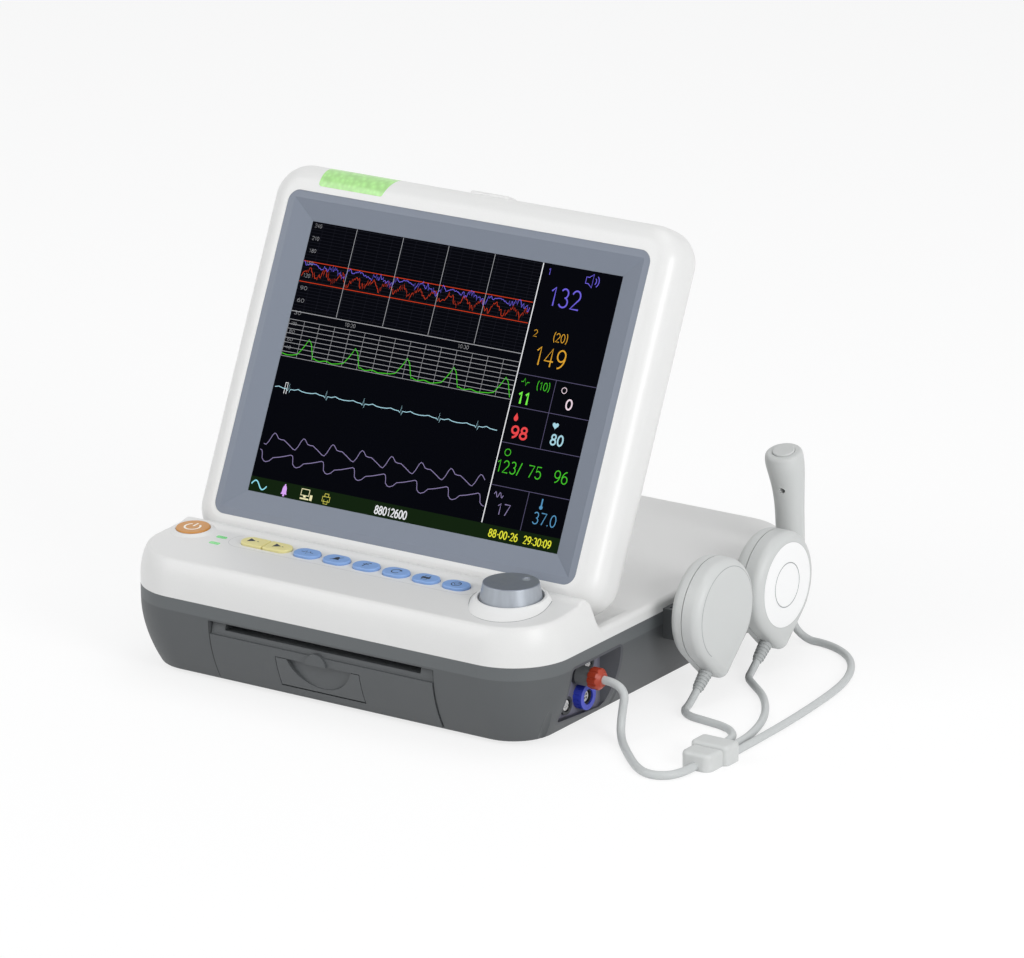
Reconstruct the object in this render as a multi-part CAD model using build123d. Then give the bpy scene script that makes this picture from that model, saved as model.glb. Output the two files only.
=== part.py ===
from build123d import *
import os
from math import asin, cos, degrees, pi, radians, sin, tan

# Bench-top fetal monitor: base with key console, recorder drawer and socket bay, tilting screen head,
# two transducers and an event marker in a holder, and the probe set's cords on the surface beside it.
# Millimetres. The origin is the middle of the base's footprint on the surface it stands on.
# +X is the user's right, +Y the back and +Z up. The keys face the user at -Y.

# Clearances
RUNNING = 0.05        # radial, of a shaft in its bore
GAP = 0.3             # between neighbours that move or have soft, curved faces
PANEL_GAP = 0.5       # shadow gap round drawers, doors and plates

# Base
BASE_WIDTH = 330.0
BASE_DEPTH = 332.8
CORNER_RADIUS = 41.7  # in plan, at the seam
FOOT_HEIGHT = 2.5
SEAM_Z = 57.0         # where the grey lower case meets the white upper case
BAND_HEIGHT = 9.0     # upright band under the seam
SKIRT_DRAFT = 13.5    # how far the lower case draws in at its bottom edge
SKIRT_EDGE = 2.5
CASE_WALL = 2.8
FLOOR_WALL = 3.0

# Upper case: deck, trough for the screen head and console
DECK_Z = 65.4
TROUGH_Z = 62.0
CONSOLE_FORM_Z = 92.0
SIDE_DRAFT = 12.0
FRONT_DRAFT = 19.0
RIM_RADIUS = 3.4
LIP_X = 158.0         # the trough ends here, inside a lip at the deck's height
CREST_Y = -90.4
CREST_Z = 90.2
RAMP_RUN = 11.0
KEY_Y = -112.0
KEY_PLANE_Z = 84.3
KEY_SLOPE = 3.0       # degrees, rising to the back
TROUGH_END_Y = -54.0
DECK_START_Y = -44.0

# Screen head, in its own frame: u to the right, v up the screen, n out of it
TILT = 64.93          # degrees from lying flat
HINGE_Y = -64.0
HINGE_Z = 80.2
HINGE_V = -110.8
HINGE_N = -20.0
HEAD_WIDTH = 320.0
HEAD_TOP = 130.0
HEAD_BOTTOM = -128.0
HEAD_FRONT = 5.0
HEAD_BACK = -34.0
HEAD_CORNER = 24.0
HEAD_EDGE = 14.0
HEAD_SPLIT = -12.0
HEAD_WALL = 2.6
TROUGH_RADIUS = 26.2
SCREEN_WIDTH = 246.0
SCREEN_HEIGHT = 184.5
BEZEL_WIDTH = 286.6
BEZEL_HEIGHT = 222.0
BEZEL_CORNER = 8.5
BEZEL_RIM = 4.7
BEZEL_LAND = 5.0
PANEL_THICK = 9.0
LAMP_LEFT = -122.0
LAMP_RIGHT = -64.0
LAMP_LOW = 115.5
LAMP_SLANT = 7.0
LAMP_DEPTH = 16.0
CATCH_WIDTH = 31.0
CATCH_DEPTH = 11.0
CATCH_RISE = 2.6
CATCH_TRAVEL = 1.5
HINGE_X = 96.0
BRACKET_WIDTH = 20.0
BRACKET_EYE = 8.5
PIN_RADIUS = 4.0
SLOT_GAP = 1.2

# Keys and indicators
KEY_TRAVEL = 1.2
KEY_RISE = 1.9
KEY_FLANGE = 1.0
KEY_DEPTH = 13.5
BLUE_KEY_WIDTH = 19.5
BLUE_PITCH = 23.6
BLUE_START_X = -47.8
BLUE_COUNT = 6
YELLOW_KEY_WIDTH = 19.3
YELLOW_PITCH = 19.8
YELLOW_START_X = -90.4
YELLOW_DEPTH = 13.0
POWER_X = -141.8
POWER_Y = -110.5
POWER_RADIUS = 11.5
POWER_RING = 3.6
LENS_LENGTH = 8.0
LENS_WIDTH = 3.5
LENS_SPOTS = ((-114.5, -123.8), (-116.6, -112.9))
BOARD_DROP = 10.0     # from the console's skin to the key board
BOARD_THICK = 1.6

# Knob
KNOB_X = 114.0
KNOB_Y = -114.0
KNOB_FOOT_RADIUS = 20.8
KNOB_TOP_RADIUS = 18.3
KNOB_FOOT_Z = 84.0
KNOB_TOP_Z = 96.5
KNOB_TRAVEL = 0.8
KNOB_WALL = 2.5
WELL_RADIUS = 21.8
WELL_FLOOR_Z = 82.4
WELL_WALL = 3.0
COLLAR_RADIUS = 26.5
COLLAR_REACH = 13.0   # how much farther the collar runs out at its front
COLLAR_TURN = -66.0   # direction of that reach, in degrees
COLLAR_RISE = 2.6
COLLAR_BACK_Y = CREST_Y - 0.6
CUP_RADIUS = 23.8
SHAFT_RADIUS = 3.0

# Recorder drawer
DRAWER_WIDTH = 176.0
DRAWER_LOW = 5.0
DRAWER_HIGH = 46.5
DRAWER_PROUD = 0.8
DRAWER_BACK_Y = -146.0
PAPER_SLOT_WIDTH = 155.0
PAPER_SLOT_Z = 41.5
LATCH_X = -3.0
LATCH_WIDTH = 66.0
LATCH_LOW = 11.0
LATCH_HIGH = 31.5
LATCH_THICK = 4.0
LATCH_PIN = 1.5
SCOOP_RADIUS = 27.0
SCOOP_DEPTH = 17.5
SCOOP_SLOPE = 9.0     # degrees, of the scoop's floor
TRAY_WIDTH = 160.0
TRAY_DEPTH = 90.0
TRAY_WALL = 2.0
TRAY_Z = 9.0
TRAY_HEIGHT = 25.0
PAPER_HEIGHT = 15.0
PLATEN_Y = -136.0
PLATEN_Z = 35.5
PLATEN_RADIUS = 8.0
PLATEN_SHAFT = 2.5
GEAR_MODULE = 1.0
PLATEN_TEETH = 18
DRIVE_TEETH = 12
GEAR_WIDTH = 4.0
MOTOR_RADIUS = 11.0
MOTOR_LENGTH = 18.0

# Socket bay in the right wall
BAY_X = 151.0
BAY_OUTLINE = ((-126.0, 12.0), (-119.5, 47.5), (-62.0, 47.5), (-63.5, 12.0), (-72.0, 6.6))
BAY_SLANT_Y = -69.3   # where the bay's slanted back wall meets the plate
BAY_WALL = 1.8
PLATE_THICK = 2.0
RELIEF_LEAN = 0.47
RELIEFS = ((-139.5, 4.8, 0.17), (-58.0, 2.2, 0.0))   # y, depth and lean to the side
SOCKET_RADIUS = 6.2
INSERT_RADIUS = 3.5
UPPER_SOCKET = (-82.5, 39.6)
PROBE_SOCKET = (-95.0, 35.3)
BLUE_SOCKET = (-90.0, 19.4)
LOWER_SOCKET = (-108.3, 18.0)
BLUE_RADIUS = 8.7
BLUE_LENGTH = 6.5

# Probe plug
PLUG_RADIUS = 6.4
PLUG_END_X = 164.0
NUT_RADIUS = 7.2
NUT_LENGTH = 8.5

# Holder, transducers and event marker on the right side
HOLDER_FRONT_Y = -13.0
HOLDER_BACK_Y = 146.0
HOLDER_LOW = 38.5
HOLDER_HIGH = 62.0
HOLDER_WALL = 3.0
HOLDER_DEPTH = 15.2
DISC_RADIUS = 35.5
DISC_FRONT_X = 206.0
DISC_BACK_X = 183.0
DISC_SPLIT_X = 193.0
DISC_EDGE = 6.5
TAIL_RADIUS = 6.5
TAIL_DROP = 39.0
DISC_CENTRES = ((0.8, 59.5), (74.6, 57.8))
KNOB_STEM = 5.0
KNOB_HEAD = 10.0
MARKER_X = 180.0
MARKER_Y = 121.0
MARKER_BUTTON = 7.5
MARKER_TRAVEL = 2.0

# Cords and junction
MAIN_CORD = 5.6
PROBE_CORD = 5.2
JUNCTION_X = 259.5
JUNCTION_FRONT_Y = -124.0
JUNCTION_BACK_Y = -91.0
JUNCTION_HEIGHT = 13.0
EXIT_PITCH = 7.0

UNDERSIDE = FOOT_HEIGHT
SIDE_X = BASE_WIDTH / 2
FRONT_Y = -BASE_DEPTH / 2
BACK_Y = BASE_DEPTH / 2


def box(x0, x1, y0, y1, z0, z1):
    """A block between two corners."""
    return Pos((x0 + x1) / 2, (y0 + y1) / 2, (z0 + z1) / 2) * Box(x1 - x0, y1 - y0, z1 - z0)


def rod(start, direction, radius, length):
    """A round bar from a point along a direction."""
    return extrude(Plane(origin=start, z_dir=direction) * Circle(radius), length)


def side_profile(points, x0, x1):
    """A block with the given outline in Y and Z, from x0 to x1."""
    outline = make_face(Polyline(*points, close=True))
    return extrude(Plane(origin=(x0, 0, 0), x_dir=(0, 1, 0), z_dir=(1, 0, 0)) * outline, x1 - x0)


def seated(pieces):
    """Several separate solids as one node."""
    return Compound([solid for piece in pieces for solid in piece.solids()])


# ---------------------------------------------------------------- base

def lower_form(inset=0.0, low=UNDERSIDE, high=SEAM_Z):
    """The lower case's outer form, drawn in by inset: an upright band over a curved, tapering skirt."""
    band_z = SEAM_Z - BAND_HEIGHT
    sections = []
    for share in (1.0, 0.8, 0.5, 0.0):
        draw = SKIRT_DRAFT * share ** 2 + inset
        z = band_z - share * (band_z - UNDERSIDE)
        sections.append(Pos(0, 0, z) * RectangleRounded(BASE_WIDTH - 2 * draw, BASE_DEPTH - 2 * draw,
                                                        CORNER_RADIUS - draw))
    form = loft(sections) + extrude(sections[-1], high - band_z)
    if low > UNDERSIDE:
        form -= box(-SIDE_X, SIDE_X, FRONT_Y, BACK_Y, UNDERSIDE - 1, low)
    return form


def console_z(y):
    """Height of the key plane at y."""
    return KEY_PLANE_Z + (y - KEY_Y) * tan(radians(KEY_SLOPE))


def side_outline(trough_z):
    """Side profile of console, trough and deck in Y and Z; the trough's floor lies at trough_z."""
    start = radians(-12)
    end = -asin((HINGE_Z - trough_z) / TROUGH_RADIUS)

    def wall(angle):
        return (HINGE_Y - TROUGH_RADIUS * cos(angle), HINGE_Z + TROUGH_RADIUS * sin(angle))

    ramp_y = CREST_Y - RAMP_RUN
    front_y, back_y, low = FRONT_Y - 10, BACK_Y + 10, SEAM_Z - 1
    corners = [((ramp_y, console_z(ramp_y)), 14.0), ((CREST_Y, CREST_Z), 6.0), (wall(start), 8.0),
               (wall(end), 8.0)]
    if trough_z < DECK_Z:
        corners += [((TROUGH_END_Y, trough_z), 8.0), ((DECK_START_Y, DECK_Z), 8.0)]
    with BuildLine() as outline:
        Polyline((front_y, low), (front_y, console_z(front_y)), corners[0][0], corners[1][0], wall(start))
        ThreePointArc(wall(start), wall((start + end) / 2), wall(end))
        Polyline(wall(end), *[place for place, radius in corners[4:]], (back_y, DECK_Z), (back_y, low),
                 (front_y, low))
    profile = make_face(outline.line)
    for (y, z), radius in corners:
        corner = [v for v in profile.vertices() if abs(v.X - y) < 0.01 and abs(v.Y - z) < 0.01]
        profile = fillet(corner, radius)
    return profile


def upper_form():
    """The upper case's outer form: a domed plan form cut by the side profile, with a lip past the trough's ends."""
    sections = []
    for share in (0.0, 0.35, 0.6, 0.8, 1.0):
        side, front = SIDE_DRAFT * share ** 3, FRONT_DRAFT * share ** 3
        z = SEAM_Z + share * (CONSOLE_FORM_Z - SEAM_Z)
        sections.append(Pos(0, 0, z) * RectangleRounded(BASE_WIDTH - 2 * side, BASE_DEPTH - 2 * front,
                                                        CORNER_RADIUS - front))
    middle = Plane(origin=(0, 0, 0), x_dir=(0, 1, 0), z_dir=(1, 0, 0))
    block = extrude(middle * side_outline(TROUGH_Z), LIP_X, both=True)
    for side in (-1, 1):
        block += extrude(middle.offset(side * LIP_X) * side_outline(DECK_Z), side * 20)
    form = loft(sections) & block

    def is_rim(edge):
        mid, low, high = edge.position_at(0.5), edge.position_at(0), edge.position_at(1)
        outer = abs(mid.X) > LIP_X + 0.5 or mid.Y > BACK_Y - 6 or mid.Y < FRONT_Y + 17
        corner = abs(mid.X) > SIDE_X - 50 and mid.Y < CREST_Y - 5
        upright = abs(low.Z - high.Z) > 6 and abs(low.Y - high.Y) < 6 and abs(mid.Y) > SIDE_X - 50
        return (outer or corner) and mid.Z > SEAM_Z + 1 and not upright

    return fillet(form.edges().filter_by(is_rim), RIM_RADIUS)


KEYS = Plane(origin=(0, KEY_Y, KEY_PLANE_Z), x_dir=(1, 0, 0),
             z_dir=(0, -sin(radians(KEY_SLOPE)), cos(radians(KEY_SLOPE))))


def on_keys(x, y, height=0.0):
    """A place on the key plane over the point x, y, raised along the plane's normal."""
    return KEYS * Pos(x, (y - KEY_Y) / cos(radians(KEY_SLOPE)), height)


def stadium(width, depth):
    """Key outline with round ends."""
    return RectangleRounded(width, depth, min(width, depth) / 2 - 0.01)


def yellow_outline(width, depth, end):
    """Key outline with a round end on one side: end is -1 for the left one, +1 for the right one."""
    flat_x, arc_x, half = -end * width / 2, end * (width - depth) / 2, depth / 2
    with BuildLine() as outline:
        Polyline((arc_x, half), (flat_x, half), (flat_x, -half), (arc_x, -half))
        ThreePointArc((arc_x, -half), (end * width / 2, 0), (arc_x, half))
    face = make_face(outline.line)
    return fillet(face.vertices().filter_by(lambda v: abs(v.X - flat_x) < 0.01), 1.2)


blue_places = [BLUE_START_X + index * BLUE_PITCH for index in range(BLUE_COUNT)]
yellow_places = [YELLOW_START_X, YELLOW_START_X + YELLOW_PITCH]
board_left = POWER_X - POWER_RADIUS
board_right = blue_places[-1] + BLUE_PITCH / 2
BOARD_HALF = 12.0
RIB = 2.0
SCREW_SPOTS = [(x, y) for x in (-125.0, 125.0) for y in (-135.0, 135.0)]
POST_RADIUS = 4.5
POST_FOOT_Z = 14.0
PILOT_RADIUS = 1.8


def make_upper_case():
    """White upper case: hollow console and deck, key openings, knob well and screw posts."""
    case = upper_form()
    inner_top = console_z(CREST_Y) - CASE_WALL
    wall_y = HINGE_Y - TROUGH_RADIUS - CASE_WALL
    cavity = side_profile([(FRONT_Y + 8, SEAM_Z - 1), (FRONT_Y + 12, console_z(FRONT_Y) - CASE_WALL - 1.5),
                           (CREST_Y - RAMP_RUN, inner_top - 1.0), (CREST_Y - 4.0, inner_top),
                           (wall_y, HINGE_Z - 6), (wall_y, TROUGH_Z - 2.2), (DECK_START_Y + 4, TROUGH_Z - 2.2),
                           (DECK_START_Y + 4, DECK_Z - CASE_WALL), (BACK_Y - 8, DECK_Z - CASE_WALL),
                           (BACK_Y - 8, SEAM_Z - 1)], -SIDE_X, SIDE_X)
    plan = RectangleRounded(BASE_WIDTH - 16, BASE_DEPTH - 16, CORNER_RADIUS - 8)
    case -= cavity & extrude(Pos(0, 0, SEAM_Z - 2) * plan, 60)

    # raised ring of the power button
    ring = Plane.XZ * make_face(Polyline((0, -3), (POWER_RADIUS + POWER_RING + 2.5, -3),
                                         (POWER_RADIUS + POWER_RING + 2.0, -0.6),
                                         (POWER_RADIUS + POWER_RING * 0.6, 0.9),
                                         (POWER_RADIUS + 1.0, 1.5), (0, 1.5), close=True))
    case += on_keys(POWER_X, POWER_Y) * revolve(ring, Axis.Z)

    # ribs that carry the key board, and posts for the case screws
    for side in (-1, 1):
        rib_y = KEY_Y + side * (BOARD_HALF - RIB / 2)
        case += on_keys((board_left + board_right) / 2, rib_y, -BOARD_DROP / 2 - 0.5) * Box(
            board_right - board_left, RIB, BOARD_DROP - 1.0)
    for x, y in SCREW_SPOTS:
        top = DECK_Z - 1 if y > 0 else console_z(y) - 1
        case += rod((x, y, POST_FOOT_Z), (0, 0, 1), POST_RADIUS, top - POST_FOOT_Z)
        case -= rod((x, y, POST_FOOT_Z - 1), (0, 0, 1), PILOT_RADIUS, 15)

    # openings
    reach = CASE_WALL + 12
    for x in blue_places:
        case -= on_keys(x, KEY_Y, -BOARD_DROP + 0.5) * extrude(
            stadium(BLUE_KEY_WIDTH + 2 * GAP, KEY_DEPTH + 2 * GAP), reach)
    yellow_mid = sum(yellow_places) / 2
    case -= on_keys(yellow_mid, KEY_Y, -BOARD_DROP + 0.5) * extrude(
        stadium(YELLOW_PITCH + YELLOW_KEY_WIDTH + 2 * GAP, YELLOW_DEPTH + 2 * GAP), reach)
    case -= on_keys(POWER_X, POWER_Y, -BOARD_DROP + 0.5) * extrude(Circle(POWER_RADIUS + GAP), reach)
    for x, y in LENS_SPOTS:
        case -= on_keys(x, y, -4.5) * extrude(RectangleRounded(LENS_LENGTH, LENS_WIDTH, 1.2), 6)
    cup_hole = rod((KNOB_X, KNOB_Y, WELL_FLOOR_Z - 12), (0, 0, 1), CUP_RADIUS + RUNNING, 20)
    case -= cup_hole & box(0, SIDE_X, FRONT_Y, COLLAR_BACK_Y + RUNNING, 0, 100)
    # room for the key flanges behind the skin
    for x, y, width, depth in key_sizes():
        case -= on_keys(x, y, -BOARD_DROP) * extrude(
            RectangleRounded(width + 2 * KEY_FLANGE + 2 * GAP, depth + 2 * KEY_FLANGE + 2 * GAP, 2.0),
            BOARD_DROP - CASE_WALL)
    return case


BUSH_RADIUS = 4.5


def make_collar():
    """Collar round the knob, drawn out to the front, with the cup that the knob sinks into."""
    def ring(radius, reach, height):
        points = []
        for step in range(24):
            angle = 2 * pi * step / 24
            swell = max(0.0, cos(angle - radians(COLLAR_TURN))) ** 2.5
            points.append(((radius + reach * swell) * cos(angle), (radius + reach * swell) * sin(angle)))
        return on_keys(KNOB_X, KNOB_Y, height) * make_face(Spline(*points, periodic=True))

    skirt = loft([ring(COLLAR_RADIUS + 1.0, COLLAR_REACH + 5.0, -1.0), ring(WELL_RADIUS + 1.6, 0.0, COLLAR_RISE)])
    cup = rod((KNOB_X, KNOB_Y, WELL_FLOOR_Z - WELL_WALL), (0, 0, 1), CUP_RADIUS, 12)
    cup &= on_keys(KNOB_X, KNOB_Y, COLLAR_RISE - 1.6 - 15) * Box(80, 80, 30)
    collar = Pos(0, 0, 0.03) * (skirt - upper_form()) + cup
    collar &= box(0, SIDE_X, FRONT_Y, COLLAR_BACK_Y, 0, 100)
    collar -= rod((KNOB_X, KNOB_Y, WELL_FLOOR_Z), (0, 0, 1), WELL_RADIUS, 20)
    collar -= rod((KNOB_X, KNOB_Y, WELL_FLOOR_Z - 6), (0, 0, 1), BUSH_RADIUS + RUNNING, 20)
    return collar


def key_sizes():
    """Place and outline size of each key cap, the round power button included."""
    sizes = [(x, KEY_Y, BLUE_KEY_WIDTH, KEY_DEPTH) for x in blue_places]
    sizes += [(x, KEY_Y, YELLOW_KEY_WIDTH - 2 * KEY_FLANGE, YELLOW_DEPTH) for x in yellow_places]
    sizes.append((POWER_X, POWER_Y, 2 * POWER_RADIUS, 2 * POWER_RADIUS))
    return sizes


def key_cap(outline, flange, x, y, rise):
    """A key: crowned cap over a flange that stops it under the skin, and a stem to its switch."""
    flange_top = -CASE_WALL - GAP
    flange_low = flange_top - 1.4
    cap = extrude(Pos(0, 0, flange_low) * outline, rise - flange_low)
    cap = fillet(cap.edges().group_by(Axis.Z)[-1], 0.8)
    cap += Pos(0, 0, flange_low) * extrude(flange, flange_top - flange_low)
    stem_low = -BOARD_DROP + SWITCH_HEIGHT + KEY_TRAVEL + 0.1
    cap += Pos(0, 0, stem_low) * extrude(Circle(2.4), flange_low - stem_low)
    return on_keys(x, y) * cap


SWITCH_HEIGHT = 1.5


def make_keys():
    """All key caps by name."""
    keys = {}
    for index, x in enumerate(blue_places):
        flange = RectangleRounded(BLUE_KEY_WIDTH + 2 * KEY_FLANGE, KEY_DEPTH + 2 * KEY_FLANGE, 2.0)
        keys[f"key_blue_{index + 1}"] = key_cap(stadium(BLUE_KEY_WIDTH, KEY_DEPTH), flange, x, KEY_Y,
                                                KEY_RISE)
    for index, (x, end) in enumerate(zip(yellow_places, (-1, 1))):
        flange = RectangleRounded(YELLOW_KEY_WIDTH, YELLOW_DEPTH + 2 * KEY_FLANGE, 2.0)
        keys[f"key_yellow_{index + 1}"] = key_cap(yellow_outline(YELLOW_KEY_WIDTH, YELLOW_DEPTH, end),
                                                  flange, x, KEY_Y, KEY_RISE)
    keys["power_button"] = key_cap(Circle(POWER_RADIUS), Circle(POWER_RADIUS + KEY_FLANGE), POWER_X,
                                   POWER_Y, KEY_RISE + 0.6)
    return keys


def make_key_board():
    """Board under the keys with a dome switch below each cap."""
    middle = (board_left + board_right) / 2
    board = on_keys(middle, KEY_Y, -BOARD_DROP - BOARD_THICK / 2) * Box(board_right - board_left,
                                                                       2 * BOARD_HALF, BOARD_THICK)
    for x, y, width, depth in key_sizes():
        board += on_keys(x, y, -BOARD_DROP) * extrude(Circle(3.2), SWITCH_HEIGHT)
    return board


def make_lenses():
    """Two green light pipes set flush in the skin."""
    lenses = []
    for x, y in LENS_SPOTS:
        outline = RectangleRounded(LENS_LENGTH - 2 * RUNNING, LENS_WIDTH - 2 * RUNNING, 1.15)
        lenses.append(on_keys(x, y, -4.4) * extrude(outline, 4.6))
    return seated(lenses)


def make_encoder():
    """Encoder body under the well, its sliding shaft, and the knob that turns on the shaft."""
    well_under = WELL_FLOOR_Z - WELL_WALL
    body = Pos(KNOB_X, KNOB_Y, 0) * box(-8, 8, -8, 8, well_under - 8, well_under)
    body += rod((KNOB_X, KNOB_Y, well_under), (0, 0, 1), BUSH_RADIUS, WELL_FLOOR_Z - well_under)
    body -= rod((KNOB_X, KNOB_Y, well_under - 6), (0, 0, 1), SHAFT_RADIUS + RUNNING, 10)
    shaft = rod((KNOB_X, KNOB_Y, well_under - 6 + KNOB_TRAVEL + 0.2), (0, 0, 1), SHAFT_RADIUS,
                KNOB_TOP_Z - 4.5 - well_under + 6 - KNOB_TRAVEL - 0.2)
    height = KNOB_TOP_Z - KNOB_FOOT_Z
    knob = Pos(0, 0, KNOB_FOOT_Z) * Cone(KNOB_FOOT_RADIUS, KNOB_TOP_RADIUS, height,
                                         align=(Align.CENTER, Align.CENTER, Align.MIN))
    knob = fillet(knob.edges().group_by(Axis.Z)[-1], 0.8)
    knob -= Pos(0, 0, KNOB_FOOT_Z - 1) * Cylinder(KNOB_TOP_RADIUS - KNOB_WALL, height - 2.0,
                                                  align=(Align.CENTER, Align.CENTER, Align.MIN))
    knob += Pos(0, 0, KNOB_FOOT_Z) * Cylinder(SHAFT_RADIUS + 2.4, height - 1,
                                              align=(Align.CENTER, Align.CENTER, Align.MIN))
    knob -= Pos(0, 0, KNOB_FOOT_Z - 1) * Cylinder(SHAFT_RADIUS + RUNNING, height - 4.5 + 1 + 0.3,
                                                  align=(Align.CENTER, Align.CENTER, Align.MIN))
    dimple = Pos(5.5, 9.5, KNOB_TOP_Z + 8.2) * Sphere(9.0)
    knob = Pos(KNOB_X, KNOB_Y, 0) * (knob - dimple)
    return body, shaft, knob


def bay_block(margin, start_x):
    """The socket bay's outline in Y and Z, grown by margin, from start_x outwards."""
    outline = make_face(Polyline(*BAY_OUTLINE, close=True))
    outline = fillet(outline.vertices(), 3.0)
    if margin:
        outline = offset(outline, margin)
    return extrude(Plane(origin=(start_x, 0, 0), x_dir=(0, 1, 0), z_dir=(1, 0, 0)) * outline, SIDE_X + 5 - start_x)


WELL_WALL_X = DRAWER_WIDTH / 2 + PANEL_GAP
TRAY_FRONT_Y = DRAWER_BACK_Y
TRAY_BACK_Y = TRAY_FRONT_Y + TRAY_DEPTH
DOOR = (-137.0, -58.0, 10.0, 98.0)
DOOR_LEDGE = 2.0
REAR_BAY = (-100.0, 100.0, 12.0, 48.0)
REAR_PLATE_Y = 147.0
MOUNT_SPACING = 100.0
MOUNT_HOLE = 2.15
FOOT_RADIUS = 9.0
FOOT_SPOTS = [(x, y) for x in (-118.0, 118.0) for y in (-118.0, 122.0)]
SPEAKER = (-117.0, -72.0)
SPEAKER_RADIUS = 24.0
GEAR_X = TRAY_WIDTH / 2 + 0.8


def make_lower_case():
    """Grey lower case: tapered hollow tub with drawer opening, socket bay, rear bay and floor bosses."""
    form = lower_form()
    form = fillet(form.edges().group_by(Axis.Z)[0], SKIRT_EDGE)
    case = form - lower_form(CASE_WALL, UNDERSIDE + FLOOR_WALL, SEAM_Z + 1)

    # openings of the recorder drawer and the socket bay
    case -= box(-WELL_WALL_X, WELL_WALL_X, FRONT_Y - 5, DRAWER_BACK_Y + GAP, DRAWER_LOW - PANEL_GAP,
                DRAWER_HIGH + PANEL_GAP)
    case -= bay_block(BAY_WALL + RUNNING, BAY_X - PLATE_THICK - GAP)

    # leaf-shaped reliefs low in the wall, in front of and behind the bay
    for y, sink, side_lean in RELIEFS:
        lean = Vector(-RELIEF_LEAN, side_lean, -1)
        case -= rod((SIDE_X + 5.0 - sink, y, 26.0), lean, 5.0, 34)

    # rear bay for the connector panel
    x0, x1, z0, z1 = REAR_BAY
    rear = box(x0 - BAY_WALL, x1 + BAY_WALL, REAR_PLATE_Y - PLATE_THICK - BAY_WALL, BACK_Y + 1,
               z0 - BAY_WALL, z1 + BAY_WALL) & form
    case += rear
    case -= box(x0, x1, REAR_PLATE_Y - PLATE_THICK, BACK_Y + 1, z0, z1)
    case -= box(x0 + 4, x1 - 4, REAR_PLATE_Y - 10, REAR_PLATE_Y, z0 + 4, z1 - 4)

    # floor: mount bosses, screw columns, feet, battery door and speaker slots
    floor_z = UNDERSIDE + FLOOR_WALL
    half = MOUNT_SPACING / 2
    for x in (-half, half):
        for y in (-half, half):
            case += rod((x, y, floor_z - 1), (0, 0, 1), 5.0, 3.0)
            case -= rod((x, y, UNDERSIDE - 1), (0, 0, 1), MOUNT_HOLE, 9.0)
    for x, y in SCREW_SPOTS:
        case += rod((x, y, floor_z - 1), (0, 0, 1), POST_RADIUS + 1.5, POST_FOOT_Z - floor_z + 1)
        case -= rod((x, y, UNDERSIDE - 1), (0, 0, 1), 3.9, 6.5)
        case -= rod((x, y, UNDERSIDE), (0, 0, 1), PILOT_RADIUS + GAP, 20)
    for x, y in FOOT_SPOTS:
        case -= rod((x, y, UNDERSIDE - 1), (0, 0, 1), FOOT_RADIUS + RUNNING, 2.0)
    x0, x1, y0, y1 = DOOR
    case -= box(x0, x1, y0, y1, UNDERSIDE - 1, UNDERSIDE + 2.0)
    case -= box(x0 + DOOR_LEDGE, x1 - DOOR_LEDGE, y0 + DOOR_LEDGE, y1 - DOOR_LEDGE, UNDERSIDE, floor_z + 1)
    for row in range(-3, 4):
        slot = 2 * (SPEAKER_RADIUS - 6 - 1.2 * abs(row))
        case -= box(SPEAKER[0] - slot / 2, SPEAKER[0] + slot / 2, SPEAKER[1] + 5 * row - 1,
                    SPEAKER[1] + 5 * row + 1, UNDERSIDE - 1, floor_z + 1)
    for x, y in BOARD_SPOTS:
        case += rod((x, y, floor_z - 1), (0, 0, 1), 3.0, MAIN_BOARD_Z - floor_z + 1)
    return case


MAIN_BOARD_Z = 36.0
MAIN_BOARD = (-46.0, 126.0, -20.0, 118.0)
BOARD_SPOTS = [(x, y) for x in (MAIN_BOARD[0] + 5, MAIN_BOARD[1] - 5) for y in (MAIN_BOARD[2] + 5, MAIN_BOARD[3] - 5)]


def make_recorder_frame():
    """Frame of the recorder in the lower case: side walls, back wall and the runners for the tray."""
    floor_z = UNDERSIDE + FLOOR_WALL + 0.02
    frame = box(-WELL_WALL_X - 2.5, WELL_WALL_X + 2.5, FRONT_Y, TRAY_BACK_Y + 4, floor_z, 52.0)
    frame -= box(-WELL_WALL_X, WELL_WALL_X, FRONT_Y - 1, TRAY_BACK_Y + 1.5, floor_z - 1, 60.0)
    for side in (-1, 1):
        frame += box(min(side * 74, side * (WELL_WALL_X + 1)), max(side * 74, side * (WELL_WALL_X + 1)),
                     TRAY_FRONT_Y + GAP, TRAY_BACK_Y, floor_z, TRAY_Z - GAP)
    frame &= lower_form(CASE_WALL + RUNNING, UNDERSIDE, SEAM_Z)
    frame -= rod((GEAR_X, PLATEN_Y + gear_distance(), PLATEN_Z), (1, 0, 0), MOTOR_BUSH + GAP, 20)
    for x in (-MOUNT_SPACING / 2, MOUNT_SPACING / 2):
        frame -= rod((x, -MOUNT_SPACING / 2, UNDERSIDE), (0, 0, 1), 5.0 + GAP, 6)
    return frame


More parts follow.
